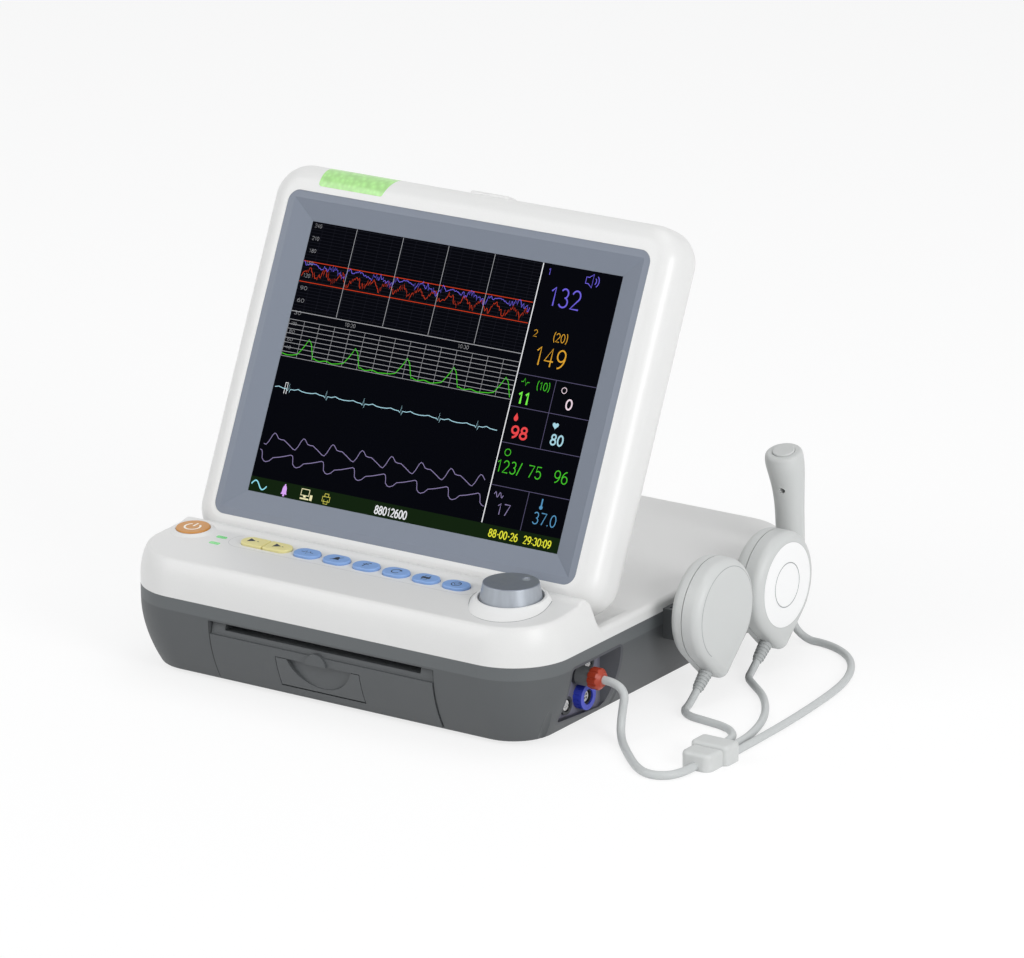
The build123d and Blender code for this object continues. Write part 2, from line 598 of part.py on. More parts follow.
def make_floor_pieces():
    """Feet, case screws, battery with its door, speaker, main board and power supply."""
    feet = [rod((x, y, 0), (0, 0, 1), FOOT_RADIUS, FOOT_HEIGHT + 1.0) for x, y in FOOT_SPOTS]
    feet = [fillet(foot.edges().group_by(Axis.Z)[0], 0.8) for foot in feet]
    screws = []
    head_top = UNDERSIDE + 5.5
    for x, y in SCREW_SPOTS:
        screw = rod((x, y, head_top - 2.6), (0, 0, 1), 3.5, 2.6)
        screw += rod((x, y, head_top), (0, 0, 1), PILOT_RADIUS - RUNNING, 18.0)
        screws.append(screw)
    x0, x1, y0, y1 = DOOR
    door = box(x0 + GAP, x1 - GAP, y0 + GAP, y1 - GAP, UNDERSIDE, UNDERSIDE + 2.0)
    door = fillet(door.edges().filter_by(Axis.Z), 2.0)
    door -= rod(((x0 + x1) / 2, y0 + 9, UNDERSIDE - 0.6), (0, 0, 1), 5.0, 1.4)
    pack = box(x0 + DOOR_LEDGE + GAP, x1 - DOOR_LEDGE - GAP, y0 + DOOR_LEDGE + GAP, y1 - DOOR_LEDGE - GAP,
               UNDERSIDE + 2.0, UNDERSIDE + 26.0)
    pack = fillet(pack.edges().filter_by(Axis.Z), 3.0)
    floor_z = UNDERSIDE + FLOOR_WALL
    speaker = rod((*SPEAKER, floor_z), (0, 0, 1), SPEAKER_RADIUS, 3.5)
    speaker += Pos(*SPEAKER, floor_z + 3.5) * Cone(SPEAKER_RADIUS - 4, 12.0, 6.0,
                                                   align=(Align.CENTER, Align.CENTER, Align.MIN))
    speaker += rod((*SPEAKER, floor_z + 9.5), (0, 0, 1), 12.0, 7.0)
    x0, x1, y0, y1 = MAIN_BOARD
    board = box(x0, x1, y0, y1, MAIN_BOARD_Z, MAIN_BOARD_Z + BOARD_THICK)
    for x, y, wide, deep, high in ((10, 20, 34, 34, 3), (60, 60, 22, 30, 2.5), (20, 95, 60, 8, 9),
                                   (95, 20, 18, 18, 2.5), (-20, 70, 12, 40, 6)):
        board += box(x - wide / 2, x + wide / 2, y - deep / 2, y + deep / 2, MAIN_BOARD_Z + BOARD_THICK,
                     MAIN_BOARD_Z + BOARD_THICK + high)
    supply = box(58, 128, -8, 102, floor_z, floor_z + 26)
    supply = fillet(supply.edges().filter_by(Axis.Z), 2.0)
    for index in range(8):
        supply -= box(68, 118, 10 + index * 10, 14 + index * 10, floor_z + 25, floor_z + 27)
    return seated(feet), seated(screws), door, pack, speaker, board, supply


INLET = (70.0, 30.0)
STUD = (38.0, 24.0)
PORTS = ((14.0, 16.0, 13.5), (-10.0, 13.0, 6.0), (-42.0, 31.0, 12.0))


def make_rear_pieces():
    """Plate at the back with the mains inlet, earth stud and data connectors."""
    x0, x1, z0, z1 = REAR_BAY
    plate = box(x0 + GAP, x1 - GAP, REAR_PLATE_Y - PLATE_THICK, REAR_PLATE_Y, z0 + GAP, z1 - GAP)
    face_y = REAR_PLATE_Y
    x, z = INLET
    inlet_half, inlet_high = 13.5, 10.0
    plate -= box(x - inlet_half, x + inlet_half, face_y - 5, face_y + 1, z - inlet_high, z + inlet_high)
    outline = RectangleRounded(2 * inlet_half - 2 * GAP, 2 * inlet_high - 2 * GAP, 3.0)
    turned = Plane(origin=(x, face_y + 1.5, z), x_dir=(-1, 0, 0), z_dir=(0, 1, 0))
    inlet = extrude(turned * outline, -22)
    inlet += extrude(turned * RectangleRounded(48, 26, 3.0), -1.5)
    inlet -= extrude(turned * RectangleRounded(2 * inlet_half - 5, 2 * inlet_high - 5, 2.5), -16)
    for pin_x, pin_z in ((-7, -3), (7, -3), (0, 3)):
        inlet += box(x + pin_x - 1, x + pin_x + 1, face_y - 15, face_y - 2, z + pin_z - 2, z + pin_z + 2)
    connectors = []
    x, z = STUD
    plate -= rod((x, face_y - 5, z), (0, 1, 0), 3.0 + RUNNING, 8)
    stud = rod((x, face_y - 6, z), (0, 1, 0), 3.0, 17)
    stud += extrude(Plane(origin=(x, face_y, z), z_dir=(0, 1, 0)) * RegularPolygon(6.0, 6), 3)
    connectors.append(stud)
    for x, wide, high in PORTS:
        z = 30.0
        plate -= box(x - wide / 2, x + wide / 2, face_y - 5, face_y + 1, z - high / 2, z + high / 2)
        port = box(x - wide / 2 + RUNNING, x + wide / 2 - RUNNING, face_y - 14, face_y + 0.8,
                   z - high / 2 + RUNNING, z + high / 2 - RUNNING)
        port -= box(x - wide / 2 + 1, x + wide / 2 - 1, face_y - 11, face_y + 1, z - high / 2 + 1,
                    z + high / 2 - 1)
        connectors.append(port)
    for index in range(7):
        plate -= box(-92 + index * 4, -90 + index * 4, face_y - 5, face_y + 1, z0 + 8, z1 - 8)
    return plate, inlet, seated(connectors)


# ---------------------------------------------------------------- sockets and plug

def make_sockets():
    """Socket plate with the bay's walls, the grey sockets, the blue ring and the white inserts."""
    panel = bay_block(BAY_WALL, BAY_X - PLATE_THICK) & lower_form()
    room = bay_block(0.0, BAY_X)
    slant = extrude(Pos(0, 0, 0) * make_face(Polyline((BAY_X - 1, BAY_SLANT_Y - 0.6), (SIDE_X + 6, BAY_OUTLINE[2][0] + 1.4),
                                                      (SIDE_X + 6, BAY_OUTLINE[2][0] + 9),
                                                      (BAY_X - 1, BAY_OUTLINE[2][0] + 9), close=True)), 60)
    panel -= room - slant
    bore = SOCKET_RADIUS - 1.0
    for y, z in (UPPER_SOCKET, PROBE_SOCKET, LOWER_SOCKET, BLUE_SOCKET):
        panel -= rod((BAY_X - 5, y, z), (1, 0, 0), bore, 10)

    def socket(y, z, ring, length):
        shell = rod((BAY_X - 9, y, z), (1, 0, 0), bore - RUNNING, 9)
        shell += rod((BAY_X, y, z), (1, 0, 0), ring, length)
        shell -= rod((BAY_X - 6, y, z), (1, 0, 0), bore - 0.9, 6 + length + 1)
        return shell

    grey = [socket(*UPPER_SOCKET, SOCKET_RADIUS, 2.0), socket(*LOWER_SOCKET, SOCKET_RADIUS, 2.0),
            socket(*PROBE_SOCKET, SOCKET_RADIUS, 3.0), socket(*BLUE_SOCKET, bore - RUNNING, BLUE_LENGTH - 1.2)]
    y, z = BLUE_SOCKET
    blue = rod((BAY_X + 0.02, y, z), (1, 0, 0), BLUE_RADIUS, BLUE_LENGTH)
    blue -= rod((BAY_X - 1, y, z), (1, 0, 0), bore, BLUE_LENGTH + 2)
    ribs = 16
    for index in range(ribs):
        angle = 2 * pi * index / ribs
        spot = (BAY_X - 1, y + BLUE_RADIUS * cos(angle), z + BLUE_RADIUS * sin(angle))
        blue -= rod(spot, (1, 0, 0), 0.5, BLUE_LENGTH - 1)
    inserts = []
    for (y, z), tip in ((UPPER_SOCKET, 1.0), (LOWER_SOCKET, 1.0), (BLUE_SOCKET, BLUE_LENGTH - 2.5)):
        insert = rod((BAY_X - 6, y, z), (1, 0, 0), INSERT_RADIUS, 6 + tip)
        for index in range(4):
            angle = pi / 4 + pi / 2 * index
            insert -= rod((BAY_X + tip - 1.5, y + 1.7 * cos(angle), z + 1.7 * sin(angle)), (1, 0, 0), 0.5, 3)
        inserts.append(insert)
    return panel, seated(grey), blue, seated(inserts)


def make_plug():
    """The probe plug's grey body and its ribbed red gland nut."""
    y, z = PROBE_SOCKET
    body = rod((BAY_X - 5.5, y, z), (1, 0, 0), SOCKET_RADIUS - 2.0, 5.5 + 3.0)
    body += rod((BAY_X + 3.0, y, z), (1, 0, 0), PLUG_RADIUS, PLUG_END_X - BAY_X - 3.0)
    nut = rod((PLUG_END_X, y, z), (1, 0, 0), NUT_RADIUS, NUT_LENGTH)
    nut = chamfer(nut.edges().group_by(Axis.X)[-1], 2.6)
    ribs = 10
    for index in range(ribs):
        angle = 2 * pi * (index + 0.5) / ribs
        spot = (PLUG_END_X - 0.1, y + (NUT_RADIUS + 0.5) * cos(angle), z + (NUT_RADIUS + 0.5) * sin(angle))
        nut -= rod(spot, (1, 0, 0), 1.1, NUT_LENGTH + 1)
    return body, nut


# ---------------------------------------------------------------- recorder drawer

def gear_distance():
    """Centre distance of the drive gear and the platen's gear."""
    return GEAR_MODULE * (PLATEN_TEETH + DRIVE_TEETH) / 2


def gear_outline(teeth, turn):
    """Straight-flanked gear outline with running backlash; turn is the angle of its first tooth."""
    pitch_radius = GEAR_MODULE * teeth / 2
    step = 2 * pi / teeth
    points = []
    for index in range(teeth):
        centre = turn + index * step
        for radius, share in ((pitch_radius - 1.2 * GEAR_MODULE, -0.31),
                              (pitch_radius + 0.8 * GEAR_MODULE, -0.11),
                              (pitch_radius + 0.8 * GEAR_MODULE, 0.11),
                              (pitch_radius - 1.2 * GEAR_MODULE, 0.31)):
            angle = centre + share * step
            points.append((radius * cos(angle), radius * sin(angle)))
    return make_face(Polyline(*points, close=True))


MOTOR_BUSH = 3.5


def make_drawer():
    """Drawer front with the paper slot and latch pocket, paper tray, paper, platen, latch."""
    half = DRAWER_WIDTH / 2
    proud = lower_form(-DRAWER_PROUD)
    front = proud & box(-half, half, FRONT_Y - 5, DRAWER_BACK_Y, DRAWER_LOW, DRAWER_HIGH)
    slot_half = PAPER_SLOT_WIDTH / 2
    front -= box(-slot_half, slot_half, FRONT_Y - 5, DRAWER_BACK_Y + 1, PAPER_SLOT_Z, DRAWER_HIGH + 1)
    # bevel under the slot, with the ridge that the paper is torn on
    slope_low = PAPER_SLOT_Z - 3.5
    bevel = side_profile([(FRONT_Y - 5, slope_low), (FRONT_Y + 1.6, slope_low), (FRONT_Y + 3.8, DRAWER_HIGH + 1),
                          (FRONT_Y - 5, DRAWER_HIGH + 1)], -half - 1, half + 1)
    front -= bevel
    latch_half = LATCH_WIDTH / 2
    pocket = box(LATCH_X - latch_half - PANEL_GAP, LATCH_X + latch_half + PANEL_GAP, FRONT_Y - 5,
                 DRAWER_BACK_Y, LATCH_LOW - 2 * PANEL_GAP, LATCH_HIGH + PANEL_GAP)
    front -= pocket - lower_form(LATCH_THICK + 1.5)
    lug = Plane(origin=(LATCH_X, FRONT_Y - 1.2, LATCH_HIGH + PANEL_GAP), x_dir=(1, 0, 0), z_dir=(0, -1, 0))
    lug_face = (Circle(8.0) & Pos(0, 5) * Rectangle(20, 10)).face()
    front += extrude(lug * lug_face, -8)

    # latch plate: it swings out about pins at its lower corners
    plate = proud & box(LATCH_X - latch_half, LATCH_X + latch_half, FRONT_Y - 5, FRONT_Y + 30, LATCH_LOW,
                        LATCH_HIGH)
    plate -= lower_form(LATCH_THICK)
    scoop = Plane(origin=(LATCH_X + 1, FRONT_Y + 2.7, LATCH_HIGH + SCOOP_RADIUS - SCOOP_DEPTH), x_dir=(1, 0, 0),
                  z_dir=(0, -cos(radians(SCOOP_SLOPE)), -sin(radians(SCOOP_SLOPE))))
    plate -= extrude(scoop * Circle(SCOOP_RADIUS), 20)
    pin_y, pin_z = latch_axis()
    plate += rod((LATCH_X - latch_half - 2.0, pin_y, pin_z), (1, 0, 0), LATCH_PIN, LATCH_WIDTH + 4.0)
    front -= rod((LATCH_X - latch_half - 2.3, pin_y, pin_z), (1, 0, 0), LATCH_PIN + RUNNING,
                 LATCH_WIDTH + 4.6)

    # tray with cheeks that carry the platen
    tray_half = TRAY_WIDTH / 2
    tray = box(-tray_half, tray_half, TRAY_FRONT_Y, TRAY_BACK_Y, TRAY_Z, TRAY_Z + TRAY_HEIGHT)
    tray += box(-tray_half, tray_half, TRAY_FRONT_Y, PLATEN_Y + 10, TRAY_Z, PLATEN_Z + 5)
    tray -= box(-tray_half + TRAY_WALL, tray_half - TRAY_WALL, TRAY_FRONT_Y + TRAY_WALL,
                TRAY_BACK_Y - TRAY_WALL, TRAY_Z + TRAY_WALL, TRAY_Z + 60)
    tray -= box(-tray_half + TRAY_WALL, tray_half - TRAY_WALL, TRAY_FRONT_Y - 1, TRAY_FRONT_Y + 5,
                TRAY_Z + 8, TRAY_Z + 60)
    tray -= rod((-tray_half - 1, PLATEN_Y, PLATEN_Z), (1, 0, 0), PLATEN_SHAFT + RUNNING, TRAY_WIDTH + 2)
    paper = box(-tray_half + TRAY_WALL + 1, tray_half - TRAY_WALL - 1, TRAY_FRONT_Y + TRAY_WALL + 1,
                TRAY_BACK_Y - TRAY_WALL - 1, TRAY_Z + TRAY_WALL, TRAY_Z + TRAY_WALL + PAPER_HEIGHT)

    platen = rod((-tray_half - 1.5, PLATEN_Y, PLATEN_Z), (1, 0, 0), PLATEN_SHAFT, TRAY_WIDTH + 7.0)
    platen += rod((-tray_half + TRAY_WALL + 1.5, PLATEN_Y, PLATEN_Z), (1, 0, 0), PLATEN_RADIUS,
                  TRAY_WIDTH - 2 * TRAY_WALL - 3)
    gear_plane = Plane(origin=(GEAR_X, PLATEN_Y, PLATEN_Z), x_dir=(0, 1, 0), z_dir=(1, 0, 0))
    platen += extrude(gear_plane * gear_outline(PLATEN_TEETH, 0.0), GEAR_WIDTH)
    return front, plate, tray, paper, platen


def latch_axis():
    """Y and Z of the latch's pin: behind the plate's face near its lower edge."""
    band_z = SEAM_Z - BAND_HEIGHT
    pin_z = LATCH_LOW + LATCH_PIN + 0.7
    share = (band_z - pin_z) / (band_z - UNDERSIDE)
    return FRONT_Y + SKIRT_DRAFT * share ** 2 + LATCH_PIN + 0.4, pin_z


def make_recorder():
    """Thermal print head, feed motor and its pinion."""
    half = TRAY_WIDTH / 2 - 4
    head_z = PLATEN_Z + PLATEN_RADIUS + GAP
    head = box(-half, half, PLATEN_Y - 8, PLATEN_Y + 8, head_z, head_z + 5)
    head += box(-WELL_WALL_X + GAP, WELL_WALL_X - GAP, FRONT_Y + CASE_WALL + GAP, PLATEN_Y + 9,
                head_z + 5, head_z + 7)
    for index in range(12):
        x = -half + 6 + index * (2 * half - 12) / 11
        head += box(x - 1, x + 1, PLATEN_Y - 7, PLATEN_Y + 7, head_z + 7, head_z + 11)
    pinion_y = PLATEN_Y + gear_distance()
    turn = pi + pi / DRIVE_TEETH
    gear_plane = Plane(origin=(GEAR_X, pinion_y, PLATEN_Z), x_dir=(0, 1, 0), z_dir=(1, 0, 0))
    gear = extrude(gear_plane * gear_outline(DRIVE_TEETH, turn), GEAR_WIDTH)
    flange_x = WELL_WALL_X + 2.5
    gear += rod((GEAR_X, pinion_y, PLATEN_Z), (1, 0, 0), 1.5, flange_x + 12 - GEAR_X)
    motor = rod((flange_x + 1.5, pinion_y, PLATEN_Z), (1, 0, 0), MOTOR_RADIUS, MOTOR_LENGTH)
    motor += box(flange_x, flange_x + 1.5, pinion_y - 14, pinion_y + 14, PLATEN_Z - 12, PLATEN_Z + 12)
    motor += rod((flange_x - 2.0, pinion_y, PLATEN_Z), (1, 0, 0), MOTOR_BUSH, 4)
    motor -= rod((flange_x - 3, pinion_y, PLATEN_Z), (1, 0, 0), 1.5 + RUNNING, 18)
    return head, motor, gear


# ---------------------------------------------------------------- screen head

tilt = radians(TILT)
head_up = Vector(0, cos(tilt), sin(tilt))
head_out = Vector(0, -sin(tilt), cos(tilt))
HEAD = Plane(origin=Vector(0, HINGE_Y, HINGE_Z) - head_up * HINGE_V - head_out * HINGE_N,
             x_dir=(1, 0, 0), z_dir=head_out)
HEAD_MIDDLE = (HEAD_TOP + HEAD_BOTTOM) / 2


def head_form(inset=0.0):
    """Rounded outer form of the screen head in its own frame."""
    form = Pos(0, HEAD_MIDDLE, HEAD_BACK + inset) * extrude(
        RectangleRounded(HEAD_WIDTH - 2 * inset, HEAD_TOP - HEAD_BOTTOM - 2 * inset, HEAD_CORNER - inset),
        HEAD_FRONT - HEAD_BACK - 2 * inset)
    ends = form.edges().group_by(Axis.Z)
    return fillet(ends[0] + ends[-1], HEAD_EDGE - inset)


def lamp_block(margin):
    """Slanted block that cuts the alarm lamp's place out of the head's top edge."""
    outline = make_face(Polyline((LAMP_LEFT - margin, LAMP_LOW - margin),
                                 (LAMP_RIGHT - LAMP_SLANT + margin, LAMP_LOW - margin),
                                 (LAMP_RIGHT + margin, HEAD_TOP + 5), (LAMP_LEFT - margin, HEAD_TOP + 5),
                                 close=True))
    outline = fillet(outline.vertices().group_by(Axis.Y)[0], 2.0)
    return Pos(0, 0, HEAD_FRONT - LAMP_DEPTH - margin) * extrude(outline, LAMP_DEPTH + 5 + margin)


def make_head():
    """All pieces of the screen head, placed at its resting tilt."""
    outer = head_form()
    inner = head_form(HEAD_WALL)
    wide, high = HEAD_WIDTH + 10, HEAD_TOP - HEAD_BOTTOM + 20
    front_half = Pos(0, HEAD_MIDDLE, HEAD_SPLIT) * extrude(Rectangle(wide, high), 40)
    back_half = Pos(0, HEAD_MIDDLE, HEAD_SPLIT) * extrude(Rectangle(wide, high), -40)
    opening = Pos(0, 0, HEAD_FRONT - 12) * extrude(
        RectangleRounded(BEZEL_WIDTH + 2 * RUNNING, BEZEL_HEIGHT + 2 * RUNNING, BEZEL_CORNER), 20)
    shell = outer - inner
    # solid blocks at the hinge that hold the pins, with a slot for each bracket
    slot_half = BRACKET_WIDTH / 2 + SLOT_GAP
    boss_low, boss_high = HEAD_BOTTOM - 1, HINGE_V + 11
    for side in (-1, 1):
        block = box(side * HINGE_X - slot_half - 12, side * HINGE_X + slot_half + 12, boss_low, boss_high,
                    HEAD_BACK - 1, HINGE_N + 11)
        shell += block & outer
        shell -= box(side * HINGE_X - slot_half, side * HINGE_X + slot_half, boss_low - 5,
                     HINGE_V + BRACKET_EYE + SLOT_GAP, HEAD_BACK - 5, HINGE_N + BRACKET_EYE + SLOT_GAP)
        shell -= rod((side * HINGE_X - slot_half - 10, HINGE_V, HINGE_N), (1, 0, 0), PIN_RADIUS,
                     2 * slot_half + 20)
    # catch in the top edge
    catch_n = -18.0
    catch_hole = box(-CATCH_WIDTH / 2, CATCH_WIDTH / 2, HEAD_TOP - HEAD_WALL - 6, HEAD_TOP + 5,
                     catch_n - CATCH_DEPTH / 2, catch_n + CATCH_DEPTH / 2)
    catch_cup = box(-CATCH_WIDTH / 2 - 2, CATCH_WIDTH / 2 + 2, HEAD_TOP - HEAD_WALL - 8, HEAD_TOP - 1,
                    catch_n - CATCH_DEPTH / 2 - 2, catch_n + CATCH_DEPTH / 2 + 2) & outer
    shell += catch_cup
    shell -= catch_hole
    front = (shell & front_half) - opening - lamp_block(0.0)
    lamp_bed = (lamp_block(2.0) & outer) - lamp_block(0.0) - opening
    front += lamp_bed & front_half
    rear = (shell & back_half) - lamp_block(0.0)

    lamp = (lamp_block(-RUNNING) & outer)

    catch = box(-CATCH_WIDTH / 2 + GAP, CATCH_WIDTH / 2 - GAP,
                HEAD_TOP - HEAD_WALL - 6 + CATCH_TRAVEL + GAP, HEAD_TOP + CATCH_RISE,
                catch_n - CATCH_DEPTH / 2 + GAP, catch_n + CATCH_DEPTH / 2 - GAP)
    catch = fillet(catch.edges().group_by(Axis.Y)[-1], 1.6)

    # bezel: outer rim, then four sloping sides down to the glass
    rim = RectangleRounded(BEZEL_WIDTH, BEZEL_HEIGHT, BEZEL_CORNER)
    bezel = Pos(0, 0, -2.0) * extrude(rim, BEZEL_RIM + 2.0)
    mouth = Pos(0, 0, BEZEL_RIM) * Rectangle(BEZEL_WIDTH - 2 * BEZEL_LAND, BEZEL_HEIGHT - 2 * BEZEL_LAND)
    throat = Pos(0, 0, 0.0) * Rectangle(SCREEN_WIDTH, SCREEN_HEIGHT)
    bezel -= loft([throat, mouth])
    bezel -= Pos(0, 0, -3) * extrude(Rectangle(SCREEN_WIDTH, SCREEN_HEIGHT), 4)

    margin = 7.0
    panel = Pos(0, 0, -2.0 - PANEL_THICK) * extrude(
        Rectangle(SCREEN_WIDTH + 2 * margin, SCREEN_HEIGHT + 2 * margin), PANEL_THICK)
    panel += Pos(0, 0, -2.0) * extrude(Rectangle(SCREEN_WIDTH - 2 * RUNNING, SCREEN_HEIGHT - 2 * RUNNING), 2.0)

    pins = []
    brackets = []
    deck_under = TROUGH_Z
    for side in (-1, 1):
        pins.append(rod((side * HINGE_X - slot_half - 10, HINGE_V, HINGE_N), (1, 0, 0), PIN_RADIUS,
                        2 * slot_half + 20))
        x0, x1 = side * HINGE_X - BRACKET_WIDTH / 2, side * HINGE_X + BRACKET_WIDTH / 2
        post = box(x0, x1, HINGE_Y - 6.0, HINGE_Y + 6.0, deck_under, HINGE_Z)
        post += rod((x0, HINGE_Y, HINGE_Z), (1, 0, 0), BRACKET_EYE, BRACKET_WIDTH)
        post -= rod((x0 - 1, HINGE_Y, HINGE_Z), (1, 0, 0), PIN_RADIUS + RUNNING, BRACKET_WIDTH + 2)
        brackets.append(post)
    placed = [HEAD * piece for piece in (front, rear, lamp, catch, bezel, panel)]
    return placed, seated([HEAD * pin for pin in pins]), seated(brackets)


# ---------------------------------------------------------------- holder, transducers, marker

def make_holder():
    """Grey holder screwed to the right wall: back plate, floor, lip with U-slots, marker clip."""
    x0 = SIDE_X + 0.02
    x1 = SIDE_X + HOLDER_DEPTH
    holder = box(x0, x0 + HOLDER_WALL, HOLDER_FRONT_Y, HOLDER_BACK_Y - 30, HOLDER_LOW, HOLDER_HIGH - 3)
    clip_front = MARKER_Y - 14
    holder += box(x0, x1, HOLDER_FRONT_Y, clip_front, HOLDER_LOW, HOLDER_LOW + HOLDER_WALL)
    holder += box(x1 - HOLDER_WALL, x1, HOLDER_FRONT_Y, clip_front, HOLDER_LOW, HOLDER_HIGH)
    holder += box(x0, x1, HOLDER_FRONT_Y, HOLDER_FRONT_Y + HOLDER_WALL, HOLDER_LOW, HOLDER_HIGH - 3)
    holder += box(x0, x1, clip_front - HOLDER_WALL, clip_front, HOLDER_LOW, HOLDER_HIGH - 3)
    slot_radius = KNOB_STEM + 2 * GAP
    for y, z in DISC_CENTRES:
        holder -= rod((x1 - HOLDER_WALL - 1, y, z), (1, 0, 0), slot_radius, HOLDER_WALL + 2)
        holder -= box(x1 - HOLDER_WALL - 1, x1 + 1, y - slot_radius, y + slot_radius, z, HOLDER_HIGH + 1)
    clip = rod((MARKER_X, MARKER_Y, HOLDER_LOW + 3), (0, 0, 1), MARKER_RADIUS + GAP + HOLDER_WALL, 17)
    holder += clip & box(x0, x1 + 30, clip_front - 1, HOLDER_BACK_Y, HOLDER_LOW, HOLDER_HIGH)
    holder += box(x0, MARKER_X - MARKER_RADIUS, MARKER_Y - 12, MARKER_Y + 12, HOLDER_LOW + 3,
                  HOLDER_LOW + 20)
    holder -= rod((MARKER_X, MARKER_Y, HOLDER_LOW), (0, 0, 1), MARKER_RADIUS + GAP, 30)
    return holder


MARKER_RADIUS = 9.6


def teardrop(scale_in=0.0):
    """Outline of a transducer: a disc with a drop-shaped tail, drawn in by scale_in."""
    disc = Circle(DISC_RADIUS - scale_in).edge()
    tail = (Pos(0, -TAIL_DROP) * Circle(TAIL_RADIUS - scale_in)).edge()
    return make_hull([disc, tail])


def make_transducer(y, z):
    """Front shell and back shell with the belt knob, at a disc centre."""
    plane = Plane(origin=(DISC_SPLIT_X, y, z), x_dir=(0, 1, 0), z_dir=(1, 0, 0))
    front = extrude(teardrop(), DISC_FRONT_X - DISC_SPLIT_X)
    front = fillet(front.edges().group_by(Axis.Z)[-1], DISC_EDGE)
    front += Pos(0, 0, -0.6) * extrude(teardrop(1.0), 0.6)
    back = Pos(0, 0, -0.6) * extrude(teardrop(), DISC_BACK_X - DISC_SPLIT_X + 0.6)
    back = fillet(back.edges().group_by(Axis.Z)[0], DISC_EDGE - 1)
    stem_length = DISC_BACK_X - SIDE_X - HOLDER_DEPTH + HOLDER_WALL + 0.5
    knob = Pos(0, 0, DISC_BACK_X - DISC_SPLIT_X - stem_length) * extrude(Circle(KNOB_STEM), stem_length)
    knob_head = extrude(Circle(KNOB_HEAD), -5)
    knob_head = fillet(knob_head.edges().group_by(Axis.Z)[0], 1.5)
    knob += Pos(0, 0, DISC_BACK_X - DISC_SPLIT_X - stem_length) * knob_head
    return plane * front, plane * (back + knob)


RELIEF_START = (-4.0, -36.5)
RELIEF_END = (-19.4, -49.4)
RELIEF_X = 195.0


def make_relief(y, z, shells):
    """Ribbed strain relief that leaves a transducer's tail down and to the front."""
    start = Vector(RELIEF_X, y + RELIEF_START[0], z + RELIEF_START[1])
    end = Vector(RELIEF_X, y + RELIEF_END[0], z + RELIEF_END[1])
    length = (end - start).length
    plane = Plane(origin=start, z_dir=end - start)
    relief = plane * Cone(4.6, PROBE_CORD / 2 + 0.6, length, align=(Align.CENTER, Align.CENTER, Align.MIN))
    for index in range(5):
        at = length * (0.42 + 0.12 * index)
        ring = 4.6 - (4.6 - PROBE_CORD / 2 - 0.6) * at / length + 0.55
        relief += (plane * Pos(0, 0, at - 0.6)) * Cylinder(ring, 1.2)
    for shell in shells:
        relief -= shell
    return relief.solids().sort_by(SortBy.VOLUME)[-1]


def make_marker():
    """Event marker: a grip whose head swells and leans to the front, with a round button on top."""
    sections = []
    for y, z, radius, lean in ((1.0, 28.0, 6.5, 0), (1.0, 32.0, 8.6, 0), (0.5, 40.0, 9.4, 0),
                               (0.0, 62.0, 9.5, 0), (-1.0, 85.0, 9.7, 2), (-3.0, 106.0, 10.6, 5),
                               (-6.5, 122.0, 12.4, 9), (-9.0, 131.0, 12.9, 12), (-10.0, 136.0, 12.0, 14)):
        place = Pos(MARKER_X, MARKER_Y + y, z) * Rot(X=lean)
        sections.append(place * Circle(radius))
    grip = loft(sections)
    top = Pos(MARKER_X, MARKER_Y - 10.0, 136.0) * Rot(X=14)
    grip = fillet(grip.edges().group_by(Axis.Z)[-1], 2.5)
    depth = 6.0
    grip -= top * Pos(0, 0, -depth) * extrude(Circle(MARKER_BUTTON + GAP), depth + 5)
    grip -= rod((MARKER_X + 2.0, MARKER_Y - 20, 110.0), (0, 1, 0), 1.9, 14)
    button = top * Pos(0, 0, -depth + MARKER_TRAVEL + GAP) * extrude(Circle(MARKER_BUTTON),
                                                                    depth - MARKER_TRAVEL - GAP + 1.2)
    button = fillet(button.edges().group_by(Axis.Z)[-1], 0.8)
    return grip, button


# ---------------------------------------------------------------- cords

def landed(y, z, radius):
    """Where a cord that leaves a strain relief at y, z reaches the floor."""
    run_y, run_z = RELIEF_END[0] - RELIEF_START[0], RELIEF_END[1] - RELIEF_START[1]
    return (RELIEF_X, y - (z - radius) * run_y / run_z, radius)


def relief_end(index):
    """Tip of a transducer's strain relief."""
    y, z = DISC_CENTRES[index]
    return (RELIEF_X, y + RELIEF_END[0], z + RELIEF_END[1])


MAIN_ROUTE = [(PLUG_END_X + NUT_LENGTH, -95.0, 35.3), (190.0, -95.0, 35.3), (188.5, -99.0, 14.0),
              (192.5, -106.0, 2.8), (214.0, -130.0, 2.8), (234.0, -149.0, 2.8), (248.5, -152.0, 2.8),
              (JUNCTION_X, -141.0, 2.8), (JUNCTION_X, JUNCTION_FRONT_Y, 2.8)]
FIRST_ROUTE = [relief_end(0), landed(*relief_end(0)[1:], 2.6), (197.2, -38.1, 2.6), (205.5, -45.9, 2.6),
               (220.3, -47.8, 2.6), (237.0, -50.5, 2.6), (247.5, -58.0, 2.6),
               (JUNCTION_X - EXIT_PITCH, -68.5, 2.6), (JUNCTION_X - EXIT_PITCH, JUNCTION_BACK_Y, 2.6)]
SECOND_ROUTE = [relief_end(1), landed(*relief_end(1)[1:], 2.6), (199.0, 37.5, 2.6), (210.0, 27.5, 2.6),
                (225.5, 14.0, 2.6), (240.0, -6.0, 2.6), (250.5, -27.0, 2.6), (257.0, -49.0, 2.6),
                (JUNCTION_X, -66.0, 2.6), (JUNCTION_X, JUNCTION_BACK_Y, 2.6)]
